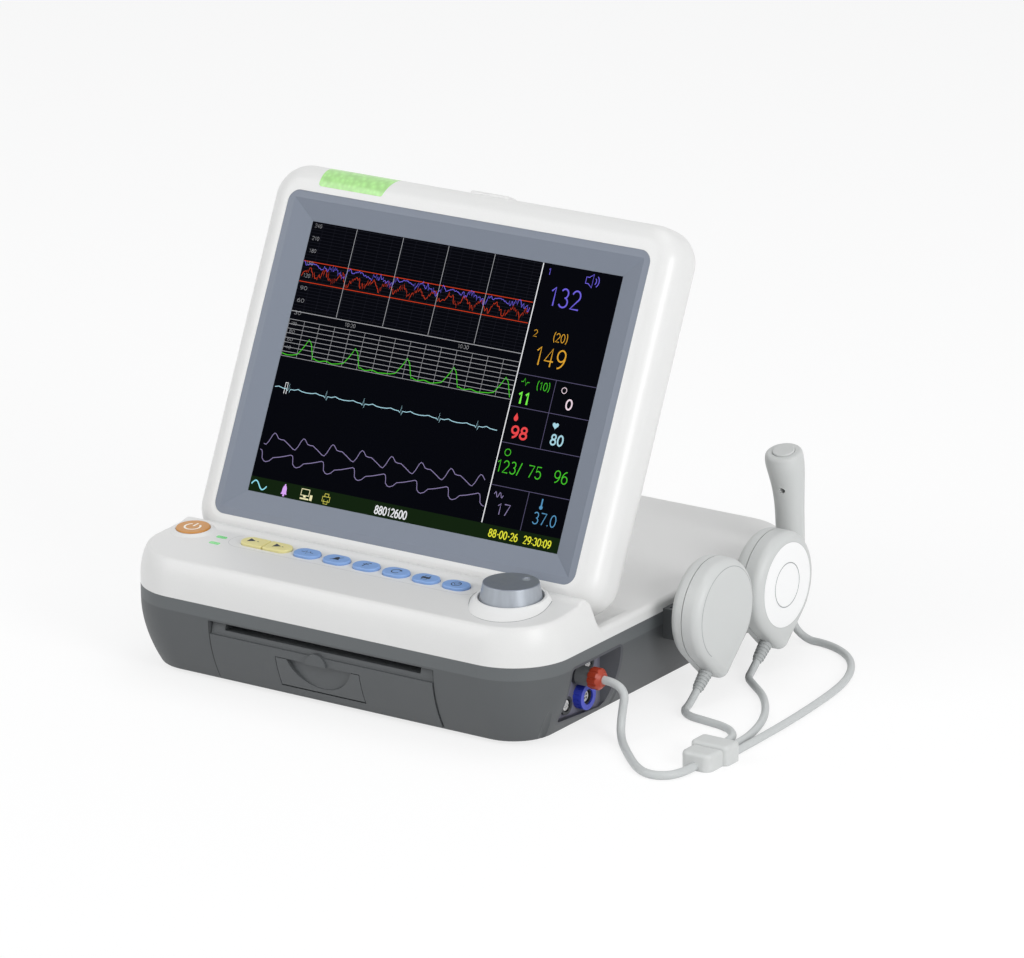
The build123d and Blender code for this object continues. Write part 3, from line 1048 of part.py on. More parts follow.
MARKER_ROUTE = [(MARKER_X, MARKER_Y + 1.0, 28.0), (MARKER_X, MARKER_Y + 1.0, 13.4), (191.0, 124.0, 2.6),
                (205.5, 124.2, 2.6), (221.0, 118.5, 2.6), (235.0, 107.5, 2.6), (246.5, 91.0, 2.6),
                (255.0, 70.0, 2.6), (260.0, 46.0, 2.6), (264.0, 5.0, 2.6),
                (JUNCTION_X + EXIT_PITCH, -45.0, 2.6), (JUNCTION_X + EXIT_PITCH, JUNCTION_BACK_Y, 2.6)]


def make_cord(name, route, diameter):
    """A plain tube along straight runs joined by the largest arcs that the runs allow."""
    points = [Vector(*point) for point in route]
    radii = []
    for before, here, after in zip(points, points[1:], points[2:]):
        turn = radians((here - before).get_angle(after - here))
        radii.append(0.45 * min((here - before).length, (after - here).length) / tan(turn / 2))
    path = FilletPolyline(*points, radius=radii)
    tube = sweep(Plane(origin=points[0], z_dir=points[1] - points[0]) * Circle(diameter / 2), path)
    ideal = pi * diameter ** 2 / 4 * path.length
    print(name, "length", round(path.length, 1), "radii", [round(r, 1) for r in radii],
          "volume share", round(tube.volume / ideal, 4))
    return tube


def make_junction():
    """Junction box that joins the three probe cords to the main cord."""
    step_y = (JUNCTION_FRONT_Y + JUNCTION_BACK_Y) / 2
    narrow, broad = 11.0, 14.0
    front = box(JUNCTION_X - narrow, JUNCTION_X + narrow, JUNCTION_FRONT_Y, step_y, 0, JUNCTION_HEIGHT - 1.5)
    back = box(JUNCTION_X - broad, JUNCTION_X + broad, step_y, JUNCTION_BACK_Y, 0, JUNCTION_HEIGHT)
    front = fillet(front.edges().filter_by(Axis.Z).group_by(Axis.Y)[0], 5.0)
    back = fillet(back.edges().filter_by(Axis.Z), 3.5)
    front = fillet(front.edges().group_by(Axis.Z)[-1], 2.5)
    back = fillet(back.edges().group_by(Axis.Z)[-1], 2.5)
    return front + back


# ---------------------------------------------------------------- write every node

def main():
    parts = {"lower_case": make_lower_case(), "upper_case": make_upper_case(),
             "knob_collar": make_collar(), "recorder_frame": make_recorder_frame()}
    (parts["rubber_feet"], parts["case_screws"], parts["battery_door"], parts["battery_pack"],
     parts["speaker"], main_board, parts["power_supply"]) = make_floor_pieces()
    parts["rear_panel"], parts["mains_inlet"], parts["rear_connectors"] = make_rear_pieces()
    parts["socket_panel"], parts["grey_sockets"], parts["blue_socket"], parts["socket_inserts"] = make_sockets()
    parts["plug_body"], parts["plug_nut"] = make_plug()
    (parts["drawer_front"], parts["drawer_latch"], parts["paper_tray"], parts["paper_pack"],
     parts["platen_roller"]) = make_drawer()
    print_head, feed_motor, parts["drive_gear"] = make_recorder()
    parts["recorder_engine"] = seated([print_head, feed_motor])
    head, parts["hinge_pins"], parts["hinge_brackets"] = make_head()
    names = ("display_front", "display_rear", "alarm_lamp", "display_catch", "bezel", "lcd_module")
    parts.update(zip(names, head))
    parts.update(make_keys())
    parts["circuit_boards"] = seated([main_board, make_key_board()])
    parts["indicator_lenses"] = make_lenses()
    parts["encoder_body"], parts["encoder_shaft"], parts["encoder_knob"] = make_encoder()
    parts["transducer_holder"] = make_holder()
    backs, reliefs = [], []
    for index, (y, z) in enumerate(DISC_CENTRES):
        front, back = make_transducer(y, z)
        parts[f"transducer_{index + 1}_front"] = front
        backs.append(back)
        reliefs.append(make_relief(y, z, (front, back)))
    parts["transducer_backs"], parts["transducer_reliefs"] = seated(backs), seated(reliefs)
    parts["marker_grip"], parts["marker_button"] = make_marker()
    parts["junction_box"] = make_junction()
    parts["main_cord"] = make_cord("main_cord", MAIN_ROUTE, MAIN_CORD)
    parts["transducer_1_cord"] = make_cord("transducer_1_cord", FIRST_ROUTE, PROBE_CORD)
    parts["transducer_2_cord"] = make_cord("transducer_2_cord", SECOND_ROUTE, PROBE_CORD)
    parts["marker_cord"] = make_cord("marker_cord", MARKER_ROUTE, PROBE_CORD)
    os.makedirs("parts", exist_ok=True)
    for name, shape in parts.items():
        export_step(shape, f"parts/{name}.step")
    print(len(parts), "nodes")


main()
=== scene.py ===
import math

import bpy
import numpy as np
from mathutils import Matrix


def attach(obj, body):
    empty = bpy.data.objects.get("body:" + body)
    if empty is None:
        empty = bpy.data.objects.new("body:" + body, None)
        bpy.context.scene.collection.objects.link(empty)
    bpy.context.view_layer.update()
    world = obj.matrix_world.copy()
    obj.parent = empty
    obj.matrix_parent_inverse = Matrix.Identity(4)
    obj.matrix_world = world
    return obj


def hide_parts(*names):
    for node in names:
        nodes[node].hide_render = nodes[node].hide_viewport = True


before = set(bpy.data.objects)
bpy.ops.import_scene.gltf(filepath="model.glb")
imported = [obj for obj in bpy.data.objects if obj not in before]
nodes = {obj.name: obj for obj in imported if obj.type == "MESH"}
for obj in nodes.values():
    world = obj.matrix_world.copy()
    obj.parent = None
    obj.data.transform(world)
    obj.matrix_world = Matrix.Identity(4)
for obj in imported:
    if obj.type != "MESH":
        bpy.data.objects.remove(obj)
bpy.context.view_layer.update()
MM = 0.001

AZIMUTH, ELEVATION, ROLL = 33.9079, 17.7376, -0.2225
EYE = (2.31350, -3.38469, 1.42605)
LENS = 228.375
LAMP_AIM = (0.02, 0.0, 0.10)
WORLD_LIGHT = 0.46
FLOOR_HALF = 8.0
FLOOR_GLOW, FLOOR_GLOW_SHARE = 1.06, 0.72


# ---------------------------------------------------------------- camera, lights and surroundings

def camera():
    """Long lens in front, to the right and a little above the monitor."""
    a, e, r = np.radians([AZIMUTH, ELEVATION, ROLL])
    back = np.array([np.sin(a) * np.cos(e), -np.cos(a) * np.cos(e), np.sin(e)])
    level = np.array([np.cos(a), np.sin(a), 0.0])
    rise = np.cross(back, level)
    right = np.cos(r) * level + np.sin(r) * rise
    up = -np.sin(r) * level + np.cos(r) * rise
    data = bpy.data.cameras.new("camera")
    data.lens, data.sensor_width = LENS, 36.0
    data.clip_start, data.clip_end = 0.1, 50.0
    eye = bpy.data.objects.new("camera", data)
    bpy.context.scene.collection.objects.link(eye)
    turn = np.eye(4)
    turn[:3, 0], turn[:3, 1], turn[:3, 2] = right, up, back
    turn[:3, 3] = EYE
    eye.matrix_world = Matrix(turn.tolist())
    bpy.context.scene.camera = eye


def softbox(name, place, aim, size, power):
    """Square area lamp at place, facing aim."""
    data = bpy.data.lights.new(name, "AREA")
    data.size, data.energy = size, power
    lamp = bpy.data.objects.new(name, data)
    bpy.context.scene.collection.objects.link(lamp)
    back = np.array(place, float) - np.array(aim, float)
    back /= np.linalg.norm(back)
    right = np.cross((0.0, 0.0, 1.0), back)
    right /= np.linalg.norm(right)
    turn = np.eye(4)
    turn[:3, 0], turn[:3, 1], turn[:3, 2], turn[:3, 3] = right, np.cross(back, right), back, place
    lamp.matrix_world = Matrix(turn.tolist())


def seen_directly(tree):
    """1 where the surroundings are seen, directly or in gloss or glass, and 0 where they only light."""
    path = tree.nodes.new("ShaderNodeLightPath")
    total = path.outputs["Is Camera Ray"]
    for ray in ("Is Glossy Ray", "Is Transmission Ray"):
        add = tree.nodes.new("ShaderNodeMath")
        add.operation, add.use_clamp = "ADD", True
        tree.links.new(total, add.inputs[0])
        tree.links.new(path.outputs[ray], add.inputs[1])
        total = add.outputs[0]
    return total


def shown_or_felt(tree, output, felt, seen, share):
    """Feeds output with the shader felt, and with the shader seen by the given share."""
    mix = tree.nodes.new("ShaderNodeMixShader")
    tree.links.new(share, mix.inputs[0])
    tree.links.new(felt.outputs[0], mix.inputs[1])
    tree.links.new(seen.outputs[0], mix.inputs[2])
    tree.links.new(mix.outputs[0], output.inputs["Surface"])


def world_light():
    """Even, slightly cool light on the monitor, seen as plain white."""
    world = bpy.data.worlds.new("studio")
    bpy.context.scene.world = world
    world.use_nodes = True
    tree = world.node_tree
    tree.nodes.clear()
    light = tree.nodes.new("ShaderNodeBackground")
    light.inputs["Color"].default_value = (0.98, 0.99, 1.0, 1)
    light.inputs["Strength"].default_value = WORLD_LIGHT
    seen = tree.nodes.new("ShaderNodeBackground")
    seen.inputs["Color"].default_value = (1, 1, 1, 1)
    seen.inputs["Strength"].default_value = 1.0
    shown_or_felt(tree, tree.nodes.new("ShaderNodeOutputWorld"), light, seen, seen_directly(tree))


def pale_floor():
    """White floor that keeps part of the monitor's shadow."""
    corners = [(-FLOOR_HALF, -FLOOR_HALF, 0), (FLOOR_HALF, -FLOOR_HALF, 0),
               (FLOOR_HALF, FLOOR_HALF, 0), (-FLOOR_HALF, FLOOR_HALF, 0)]
    mesh = bpy.data.meshes.new("floor")
    mesh.from_pydata(corners, [], [(0, 1, 2, 3)])
    floor = bpy.data.objects.new("floor", mesh)
    bpy.context.scene.collection.objects.link(floor)
    material = bpy.data.materials.new("floor_white")
    material.use_nodes = True
    tree = material.node_tree
    tree.nodes.clear()
    matt = tree.nodes.new("ShaderNodeBsdfDiffuse")
    matt.inputs["Color"].default_value = (0.94, 0.94, 0.94, 1)
    glow = tree.nodes.new("ShaderNodeEmission")
    glow.inputs["Color"].default_value = (1, 1, 1, 1)
    glow.inputs["Strength"].default_value = FLOOR_GLOW
    share = tree.nodes.new("ShaderNodeMath")
    share.operation = "MULTIPLY"
    share.inputs[1].default_value = FLOOR_GLOW_SHARE
    tree.links.new(seen_directly(tree), share.inputs[0])
    shown_or_felt(tree, tree.nodes.new("ShaderNodeOutputMaterial"), matt, glow, share.outputs[0])
    mesh.materials.append(material)


def surroundings():
    """White studio: even world light, three soft lamps and a pale floor."""
    bpy.context.scene.view_settings.view_transform = "Standard"
    world_light()
    softbox("key_lamp", (-1.5, -2.1, 1.9), LAMP_AIM, 1.6, 24.0)
    softbox("side_lamp", (2.6, -0.9, 1.1), LAMP_AIM, 1.2, 34.0)
    softbox("top_lamp", (0.1, 0.6, 2.8), LAMP_AIM, 1.6, 13.0)
    pale_floor()


# ---------------------------------------------------------------- finishes

def tone(code):
    """Linear colour of a display colour written as six hex digits."""
    part = np.array([int(code[i:i + 2], 16) for i in (0, 2, 4)]) / 255
    linear = np.where(part <= 0.04045, part / 12.92, ((part + 0.055) / 1.055) ** 2.4)
    return (*linear.tolist(), 1.0)


def group(name, inputs, outputs):
    """Empty shader group with named sockets: inputs are (name, kind, value) and outputs (name, kind)."""
    tree = bpy.data.node_groups.new(name, "ShaderNodeTree")
    kinds = {"colour": "NodeSocketColor", "number": "NodeSocketFloat", "vector": "NodeSocketVector"}
    for label, kind, value in inputs:
        socket = tree.interface.new_socket(name=label, in_out="INPUT", socket_type=kinds[kind])
        socket.default_value = value
    for label, kind in outputs:
        tree.interface.new_socket(name=label, in_out="OUTPUT", socket_type=kinds[kind])
    return tree, tree.nodes.new("NodeGroupInput"), tree.nodes.new("NodeGroupOutput")


def node(tree, kind, settings=None, **values):
    """New shader node; settings are its own properties and values fill its input sockets by name."""
    made = tree.nodes.new("ShaderNode" + kind)
    for key, value in (settings or {}).items():
        setattr(made, key, value)
    for key, value in values.items():
        made.inputs[key.replace("_", " ")].default_value = value
    return made


def scaled(tree, colour, factor):
    """Colour times a number that varies over the surface."""
    times = node(tree, "VectorMath", {"operation": "SCALE"})
    tree.links.new(colour, times.inputs[0])
    tree.links.new(factor, times.inputs["Scale"])
    return times.outputs[0]


def stretch(tree, value, low, high, start=0.0, end=1.0):
    """Maps value from start..end to low..high."""
    ranged = node(tree, "MapRange")
    tree.links.new(value, ranged.inputs["Value"])
    for label, number in (("From Min", start), ("From Max", end), ("To Min", low), ("To Max", high)):
        ranged.inputs[label].default_value = number
    return ranged.outputs["Result"]


def swung(tree, colour, noise, depth):
    """Colour times 1 plus the depth times the noise about its middle of 0.5."""
    centred = node(tree, "Math", {"operation": "SUBTRACT"})
    centred.inputs[1].default_value = 0.5
    tree.links.new(noise, centred.inputs[0])
    swing = node(tree, "Math", {"operation": "MULTIPLY_ADD"})
    swing.inputs[2].default_value = 1.0
    tree.links.new(centred.outputs[0], swing.inputs[0])
    tree.links.new(depth, swing.inputs[1])
    return scaled(tree, colour, swing.outputs[0])


def varied(tree, value, noise, low, high):
    """Number times a factor that runs from low to high with the noise."""
    times = node(tree, "Math", {"operation": "MULTIPLY"})
    tree.links.new(value, times.inputs[0])
    tree.links.new(stretch(tree, noise, low, high, 0.3, 0.7), times.inputs[1])
    return times.outputs[0]


def moulded_skin():
    """Injection moulded plastic: fine spark texture in height, slow drift in shade and in gloss."""
    tree, given, result = group(
        "moulded_skin",
        [("Color", "colour", (0.8, 0.8, 0.8, 1)), ("Roughness", "number", 0.45),
         ("Grain Scale", "number", 1400.0), ("Drift", "number", 0.03)],
        [("Color", "colour"), ("Roughness", "number"), ("Height", "number")])
    place = node(tree, "TexCoord")
    grain = node(tree, "TexNoise", Detail=3.0, Roughness=0.6)
    drift = node(tree, "TexNoise", Scale=16.0, Detail=2.0, Roughness=0.5)
    tree.links.new(place.outputs["Object"], grain.inputs["Vector"])
    tree.links.new(given.outputs["Grain Scale"], grain.inputs["Scale"])
    tree.links.new(place.outputs["Object"], drift.inputs["Vector"])
    shade = swung(tree, given.outputs["Color"], drift.outputs["Fac"], given.outputs["Drift"])
    speck = stretch(tree, grain.outputs["Fac"], 0.985, 1.012, 0.3, 0.7)
    tree.links.new(scaled(tree, shade, speck), result.inputs["Color"])
    tree.links.new(varied(tree, given.outputs["Roughness"], grain.outputs["Fac"], 0.94, 1.07),
                   result.inputs["Roughness"])
    tree.links.new(grain.outputs["Fac"], result.inputs["Height"])
    return tree


def brushed_skin():
    """Turned or brushed metal: streaks along one axis in shade, gloss and height."""
    tree, given, result = group(
        "brushed_skin",
        [("Color", "colour", (0.6, 0.6, 0.6, 1)), ("Roughness", "number", 0.35),
         ("Streaks", "vector", (40.0, 900.0, 900.0)), ("Depth", "number", 0.08)],
        [("Color", "colour"), ("Roughness", "number"), ("Height", "number")])
    place = node(tree, "TexCoord")
    pull = node(tree, "VectorMath", {"operation": "MULTIPLY"})
    tree.links.new(place.outputs["Object"], pull.inputs[0])
    tree.links.new(given.outputs["Streaks"], pull.inputs[1])
    streak = node(tree, "TexNoise", Scale=1.0, Detail=2.0)
    tree.links.new(pull.outputs[0], streak.inputs["Vector"])
    shade = swung(tree, given.outputs["Color"], streak.outputs["Fac"], given.outputs["Depth"])
    tree.links.new(shade, result.inputs["Color"])
    tree.links.new(varied(tree, given.outputs["Roughness"], streak.outputs["Fac"], 0.85, 1.15),
                   result.inputs["Roughness"])
    tree.links.new(streak.outputs["Fac"], result.inputs["Height"])
    return tree


MOULDED = moulded_skin()
BRUSHED = brushed_skin()
KNOB_CAP_Z = 0.0961            # the knob's darker cap starts here
LIT_BAND_Z = 0.0482           # the lower case's band is painted lighter from here up: a painted highlight where it catches more light
SOCKET_PLATE_X = 0.1523        # face of the socket plate; the walls of its bay lie farther out
DECK_GRAIN_Y = (-0.095, -0.080)  # the deck's grain grows to its full depth between these


def finish(name, skin, code, roughness, bump=0.15, metallic=0.0, coat=0.0, specular=0.5, **values):
    """Material from one of the shared skins, with its own colour, gloss and depth of texture."""
    material = bpy.data.materials.new(name)
    material.use_nodes = True
    tree = material.node_tree
    shader = tree.nodes["Principled BSDF"]
    skinned = tree.nodes.new("ShaderNodeGroup")
    skinned.node_tree = skin
    skinned.inputs["Color"].default_value = tone(code)
    skinned.inputs["Roughness"].default_value = roughness
    for key, value in values.items():
        skinned.inputs[key.replace("_", " ")].default_value = value
    relief = node(tree, "Bump", Strength=bump, Distance=0.0004)
    tree.links.new(skinned.outputs["Color"], shader.inputs["Base Color"])
    tree.links.new(skinned.outputs["Roughness"], shader.inputs["Roughness"])
    tree.links.new(skinned.outputs["Height"], relief.inputs["Height"])
    tree.links.new(relief.outputs["Normal"], shader.inputs["Normal"])
    shader.inputs["Metallic"].default_value = metallic
    shader.inputs["Coat Weight"].default_value = coat
    shader.inputs["Specular IOR Level"].default_value = specular
    return material


def split_by(material, axis, at, width, code):
    """Changes the material's colour to a second one past a place along one axis."""
    tree = material.node_tree
    shader = tree.nodes["Principled BSDF"]
    first = shader.inputs["Base Color"].links[0].from_socket
    place = node(tree, "TexCoord")
    apart = node(tree, "SeparateXYZ")
    tree.links.new(place.outputs["Object"], apart.inputs[0])
    mask = stretch(tree, apart.outputs[axis], 0.0, 1.0, at - width, at + width)
    mix = node(tree, "Mix", {"data_type": "RGBA"})
    tree.links.new(mask, mix.inputs[0])
    tree.links.new(first, mix.inputs[6])
    mix.inputs[7].default_value = tone(code)
    tree.links.new(mix.outputs[2], shader.inputs["Base Color"])


def lit(name, code):
    """Lit display colour."""
    material = bpy.data.materials.new(name)
    material.use_nodes = True
    shader = material.node_tree.nodes["Principled BSDF"]
    shader.inputs["Base Color"].default_value = tone("030304")
    shader.inputs["Roughness"].default_value = 0.7
    shader.inputs["Specular IOR Level"].default_value = 0.01
    shader.inputs["Emission Color"].default_value = tone(code)
    shader.inputs["Emission Strength"].default_value = 1.0
    return material


def frosted_lamp():
    """Frosted green lamp: cloudy cells inside, a little light of its own."""
    material = finish("lamp_green", MOULDED, "a8db8c", 0.34, bump=0.1, coat=0.3, Drift=0.1)
    tree = material.node_tree
    shader = tree.nodes["Principled BSDF"]
    cells = node(tree, "TexVoronoi", {"feature": "SMOOTH_F1"}, Scale=330.0)
    place = node(tree, "TexCoord")
    tree.links.new(place.outputs["Object"], cells.inputs["Vector"])
    cloud = stretch(tree, cells.outputs["Distance"], 1.12, 0.86, 0.1, 0.7)
    old = shader.inputs["Base Color"].links[0].from_socket
    tree.links.new(scaled(tree, old, cloud), shader.inputs["Base Color"])
    shader.inputs["Emission Color"].default_value = tone("8fd070")
    shader.inputs["Emission Strength"].default_value = 0.12
    return material


def knob_finish():
    """Knob: satin silver-blue sides with upright streaks, darker slate cap."""
    material = finish("knob_slate", BRUSHED, "a3a9b1", 0.34, bump=0.03, metallic=0.35,
                      Streaks=(190.0, 190.0, 4.0), Depth=0.42)
    split_by(material, "Z", KNOB_CAP_Z, 0.0002, "828894")
    return material


def shell_finish():
    """White upper case: smooth console, spark-eroded grain on the deck behind it."""
    material = finish("case_white", MOULDED, "e5e5e4", 0.40, bump=0.10, coat=0.05, Grain_Scale=1500.0,
                      Drift=0.015)
    tree = material.node_tree
    relief = [n for n in tree.nodes if n.type == "BUMP"][0]
    place = node(tree, "TexCoord")
    apart = node(tree, "SeparateXYZ")
    tree.links.new(place.outputs["Object"], apart.inputs[0])
    deck = stretch(tree, apart.outputs["Y"], 0.15, 1.0, *DECK_GRAIN_Y)
    deep = node(tree, "Math", {"operation": "MULTIPLY"})
    tree.links.new(relief.inputs["Height"].links[0].from_socket, deep.inputs[0])
    tree.links.new(deck, deep.inputs[1])
    tree.links.new(deep.outputs[0], relief.inputs["Height"])
    relief.inputs["Strength"].default_value = 0.5
    return material


def finishes():
    """Every finish by name."""
    plain = {
        "head_white": ("e8e8e7", 0.36, dict(bump=0.04, coat=0.08, Drift=0.012)),
        "collar_white": ("f2f2f1", 0.38, dict(bump=0.04, coat=0.08, Drift=0.012)),
        "case_grey": ("545759", 0.52, dict(bump=0.28, Grain_Scale=1900.0, Drift=0.05)),
        "trim_grey": ("4d5052", 0.55, dict(bump=0.28, Grain_Scale=1900.0, Drift=0.05)),
        "latch_grey": ("56595b", 0.50, dict(bump=0.22, Grain_Scale=1900.0, Drift=0.05)),
        "bezel_blue_grey": ("7b8391", 0.46, dict(bump=0.10, Grain_Scale=2200.0, Drift=0.03)),
        "screen_black": ("05060c", 0.42, dict(bump=0.01, specular=0.005, Drift=0.0)),
        "power_orange": ("cb8c40", 0.42, dict(bump=0.05, coat=0.15)),
        "key_yellow": ("e6dd9c", 0.45, dict(bump=0.06)),
        "key_blue": ("86aae0", 0.42, dict(bump=0.06, coat=0.1)),
        "lens_green": ("7ee58a", 0.25, dict(bump=0.02, coat=0.4)),
        "rubber_black": ("202122", 0.75, dict(bump=0.3, Grain_Scale=1200.0)),
        "plastic_black": ("232426", 0.5, dict(bump=0.15)),
        "board_green": ("1c5a34", 0.45, dict(bump=0.1)),
        "battery_wrap": ("39456f", 0.4, dict(bump=0.05)),
        "paper_white": ("f2efe6", 0.85, dict(bump=0.2, Grain_Scale=700.0)),
        "socket_violet": ("6f6e7b", 0.5, dict(bump=0.15)),
        "socket_dark": ("2b2d31", 0.42, dict(bump=0.1)),
        "socket_blue": ("3343c4", 0.36, dict(bump=0.05, coat=0.2)),
        "insert_white": ("dcdcdb", 0.4, dict(bump=0.05)),
        "plug_grey": ("6d7071", 0.48, dict(bump=0.15)),
        "nut_red": ("a7391f", 0.42, dict(bump=0.08)),
        "probe_grey": ("d0d2d1", 0.44, dict(bump=0.06, Grain_Scale=1700.0, Drift=0.02)),
        "relief_grey": ("b6b9b9", 0.55, dict(bump=0.1)),
        "cord_grey": ("c6c9c9", 0.48, dict(bump=0.08, Grain_Scale=900.0, Drift=0.04)),
        # painted shade inside the transducers' split line
        "split_shade_grey": ("6a6d6e", 0.6, dict(bump=0.1)),
        "face_white": ("fbfbfb", 0.30, dict(bump=0.02, coat=0.2, Drift=0.0)),
        # painted shade for grooves: darker lines where the grooves are in shade
        "groove_shade_grey": ("9da0a1", 0.6, dict(bump=0.05)),
        "groove_shade_pale": ("c6c7c7", 0.6, dict(bump=0.05)),
        "print_dark": ("2c3442", 0.5, dict(bump=0.02)),
        "print_pale": ("fbf3e6", 0.5, dict(bump=0.02)),
        # painted shade for gaps and holes
        "painted_shade_dark": ("2b2d2f", 0.7, dict(bump=0.05)),
    }
    made = {name: finish(name, MOULDED, code, roughness, **more)
            for name, (code, roughness, more) in plain.items()}
    # painted highlight: the lower case's upper band is lighter, where it catches more light
    split_by(made["case_grey"], "Z", LIT_BAND_Z, 0.0003, "606466")
    split_by(made["socket_violet"], "X", SOCKET_PLATE_X, 0.0002, "484a4f")
    made["steel"] = finish("steel", BRUSHED, "a9abae", 0.32, bump=0.05, metallic=1.0)
    made["lamp_green"] = frosted_lamp()
    made["knob_slate"] = knob_finish()
    made["case_white"] = shell_finish()
    return made


WEAR = finishes()

CLAD = {
    "case_white": ["upper_case"],
    "collar_white": ["knob_collar"],
    "head_white": ["display_front", "display_rear", "display_catch"],
    "case_grey": ["lower_case", "drawer_front", "hinge_brackets"],
    "latch_grey": ["drawer_latch"],
    "trim_grey": ["transducer_holder", "battery_door", "rear_panel", "paper_tray", "recorder_frame"],
    "bezel_blue_grey": ["bezel"],
    "screen_black": ["lcd_module"],
    "lamp_green": ["alarm_lamp"],
    "power_orange": ["power_button"],
    "key_yellow": ["key_yellow_1", "key_yellow_2"],
    "key_blue": ["key_blue_%d" % i for i in range(1, 7)],
    "lens_green": ["indicator_lenses"],
    "knob_slate": ["encoder_knob"],
    "steel": ["encoder_shaft", "case_screws", "power_supply", "rear_connectors", "recorder_engine",
              "hinge_pins"],
    "plastic_black": ["encoder_body", "speaker", "mains_inlet"],
    "rubber_black": ["rubber_feet", "platen_roller"],
    "board_green": ["circuit_boards"],
    "battery_wrap": ["battery_pack"],
    "paper_white": ["paper_pack"],
    "socket_violet": ["socket_panel"],
    "socket_dark": ["grey_sockets"],
    "socket_blue": ["blue_socket"],
    "insert_white": ["socket_inserts", "drive_gear"],
    "plug_grey": ["plug_body"],
    "nut_red": ["plug_nut"],
    "probe_grey": ["transducer_1_front", "transducer_2_front", "transducer_backs", "marker_grip",
                   "marker_button", "junction_box"],
    "relief_grey": ["transducer_reliefs"],
    "cord_grey": ["main_cord", "transducer_1_cord", "transducer_2_cord", "marker_cord"],
}


def clad():
    """Gives every solid its finish."""
    for name, members in CLAD.items():
        for member in members:
            materials = nodes[member].data.materials
            for index in range(len(materials)):
                materials[index] = WEAR[name]


# ---------------------------------------------------------------- flat work on a plane

def plane(origin, right, up):
    """Plane in millimetres with its outward side towards right x up."""
    origin, right, up = (np.array(v, float) for v in (origin, right, up))
    return origin, right, up, np.cross(right, up)


def lifted(on, flat, height):
    """Points in space, in metres, of flat points on a plane: origin + x right + y up + height out."""
    origin, right, up, out = on
    flat = np.asarray(flat, float)
    return (origin + flat[:, :1] * right + flat[:, 1:2] * up + height * out) * MM


def ribbon_faces(count, closed=False):
    """Quads between two rows of count points, the second row numbered after the first."""
    first = np.arange(count if closed else count - 1)
    second = (first + 1) % count
    return np.stack([first, second, second + count, first + count], 1).tolist()


def strip(points, width, closed=False):
    """Flat ribbon: each point moved half the width to both sides of the path's mean direction there."""
    points = np.asarray(points, float)
    ahead = np.roll(points, -1, 0) - points
    behind = points - np.roll(points, 1, 0)
    if not closed:
        ahead[-1], behind[0] = behind[-1], ahead[0]
    run = sum(step / np.linalg.norm(step, axis=1)[:, None] for step in (ahead, behind))
    run /= np.maximum(np.linalg.norm(run, axis=1)[:, None], 1e-9)
    side = np.stack([-run[:, 1], run[:, 0]], 1) * width / 2
    return np.concatenate([points - side, points + side]), ribbon_faces(len(points), closed)


def patch(points):
    """Filled outline, given anticlockwise."""
    return np.asarray(points, float), [list(range(len(points)))]


def block(x0, x1, y0, y1):
    """Filled rectangle."""
    return patch([(x0, y0), (x1, y0), (x1, y1), (x0, y1)])


def arc(x, y, radius, start=0.0, end=360.0, count=48):
    """Points of a circular arc, from one angle to another in degrees."""
    angle = np.radians(np.linspace(start, end, count, endpoint=abs(end - start) < 360))
    return np.stack([x + radius * np.cos(angle), y + radius * np.sin(angle)], 1)


def bow(x, y, across, rise, start, end):
    """Points of an elliptical stroke about x, y from one angle to another in degrees."""
    angle = np.radians(np.linspace(start, end, 20))
    return np.stack([x + across * np.cos(angle), y + rise * np.sin(angle)], 1).tolist()


SIGN_SPACE = 0.2
# Each sign: how far the next one starts after it, and its pen strokes in a cell about 0.6 wide and 1 high.
STROKES = {
    "0": (0.8, [bow(0.3, 0.5, 0.29, 0.5, 0, 360)]),
    "1": (0.72, [[(0.1, 0.78), (0.34, 1.0), (0.34, 0.0)]]),
    "2": (0.8, [bow(0.3, 0.71, 0.27, 0.29, 165, -30) + [(0.03, 0.0), (0.6, 0.0)]]),
    "3": (0.8, [bow(0.28, 0.75, 0.24, 0.25, 150, -80), bow(0.28, 0.27, 0.29, 0.27, 75, -155)]),
    "4": (0.84, [[(0.45, 0.0), (0.45, 1.0), (0.0, 0.3), (0.62, 0.3)]]),
    "5": (0.8, [[(0.55, 1.0), (0.12, 1.0), (0.07, 0.54)] + bow(0.29, 0.32, 0.29, 0.32, 130, -150)]),
    "6": (0.8, [bow(0.3, 0.31, 0.28, 0.31, 0, 360), bow(0.5, 0.38, 0.48, 0.62, 175, 95)]),
    "7": (0.8, [[(0.02, 1.0), (0.6, 1.0), (0.22, 0.0)]]),
    "8": (0.8, [bow(0.3, 0.76, 0.23, 0.24, 0, 360), bow(0.3, 0.26, 0.28, 0.26, 0, 360)]),
    "9": (0.8, [bow(0.3, 0.69, 0.28, 0.31, 0, 360), bow(0.1, 0.62, 0.48, 0.62, -5, -85)]),
    "/": (0.5, [[(0.0, -0.05), (0.35, 1.05)]]),
    "(": (0.45, [bow(0.4, 0.5, 0.3, 0.68, 115, 245)]),
    ")": (0.45, [bow(-0.1, 0.5, 0.3, 0.68, 65, -65)]),
    ".": (0.34, [[(0.1, 0.0), (0.1, 0.1)]]),
    ":": (0.34, [[(0.1, 0.15), (0.1, 0.27)], [(0.1, 0.62), (0.1, 0.74)]]),
    "-": (0.5, [[(0.04, 0.45), (0.34, 0.45)]]),
    " ": (0.5, []),
}


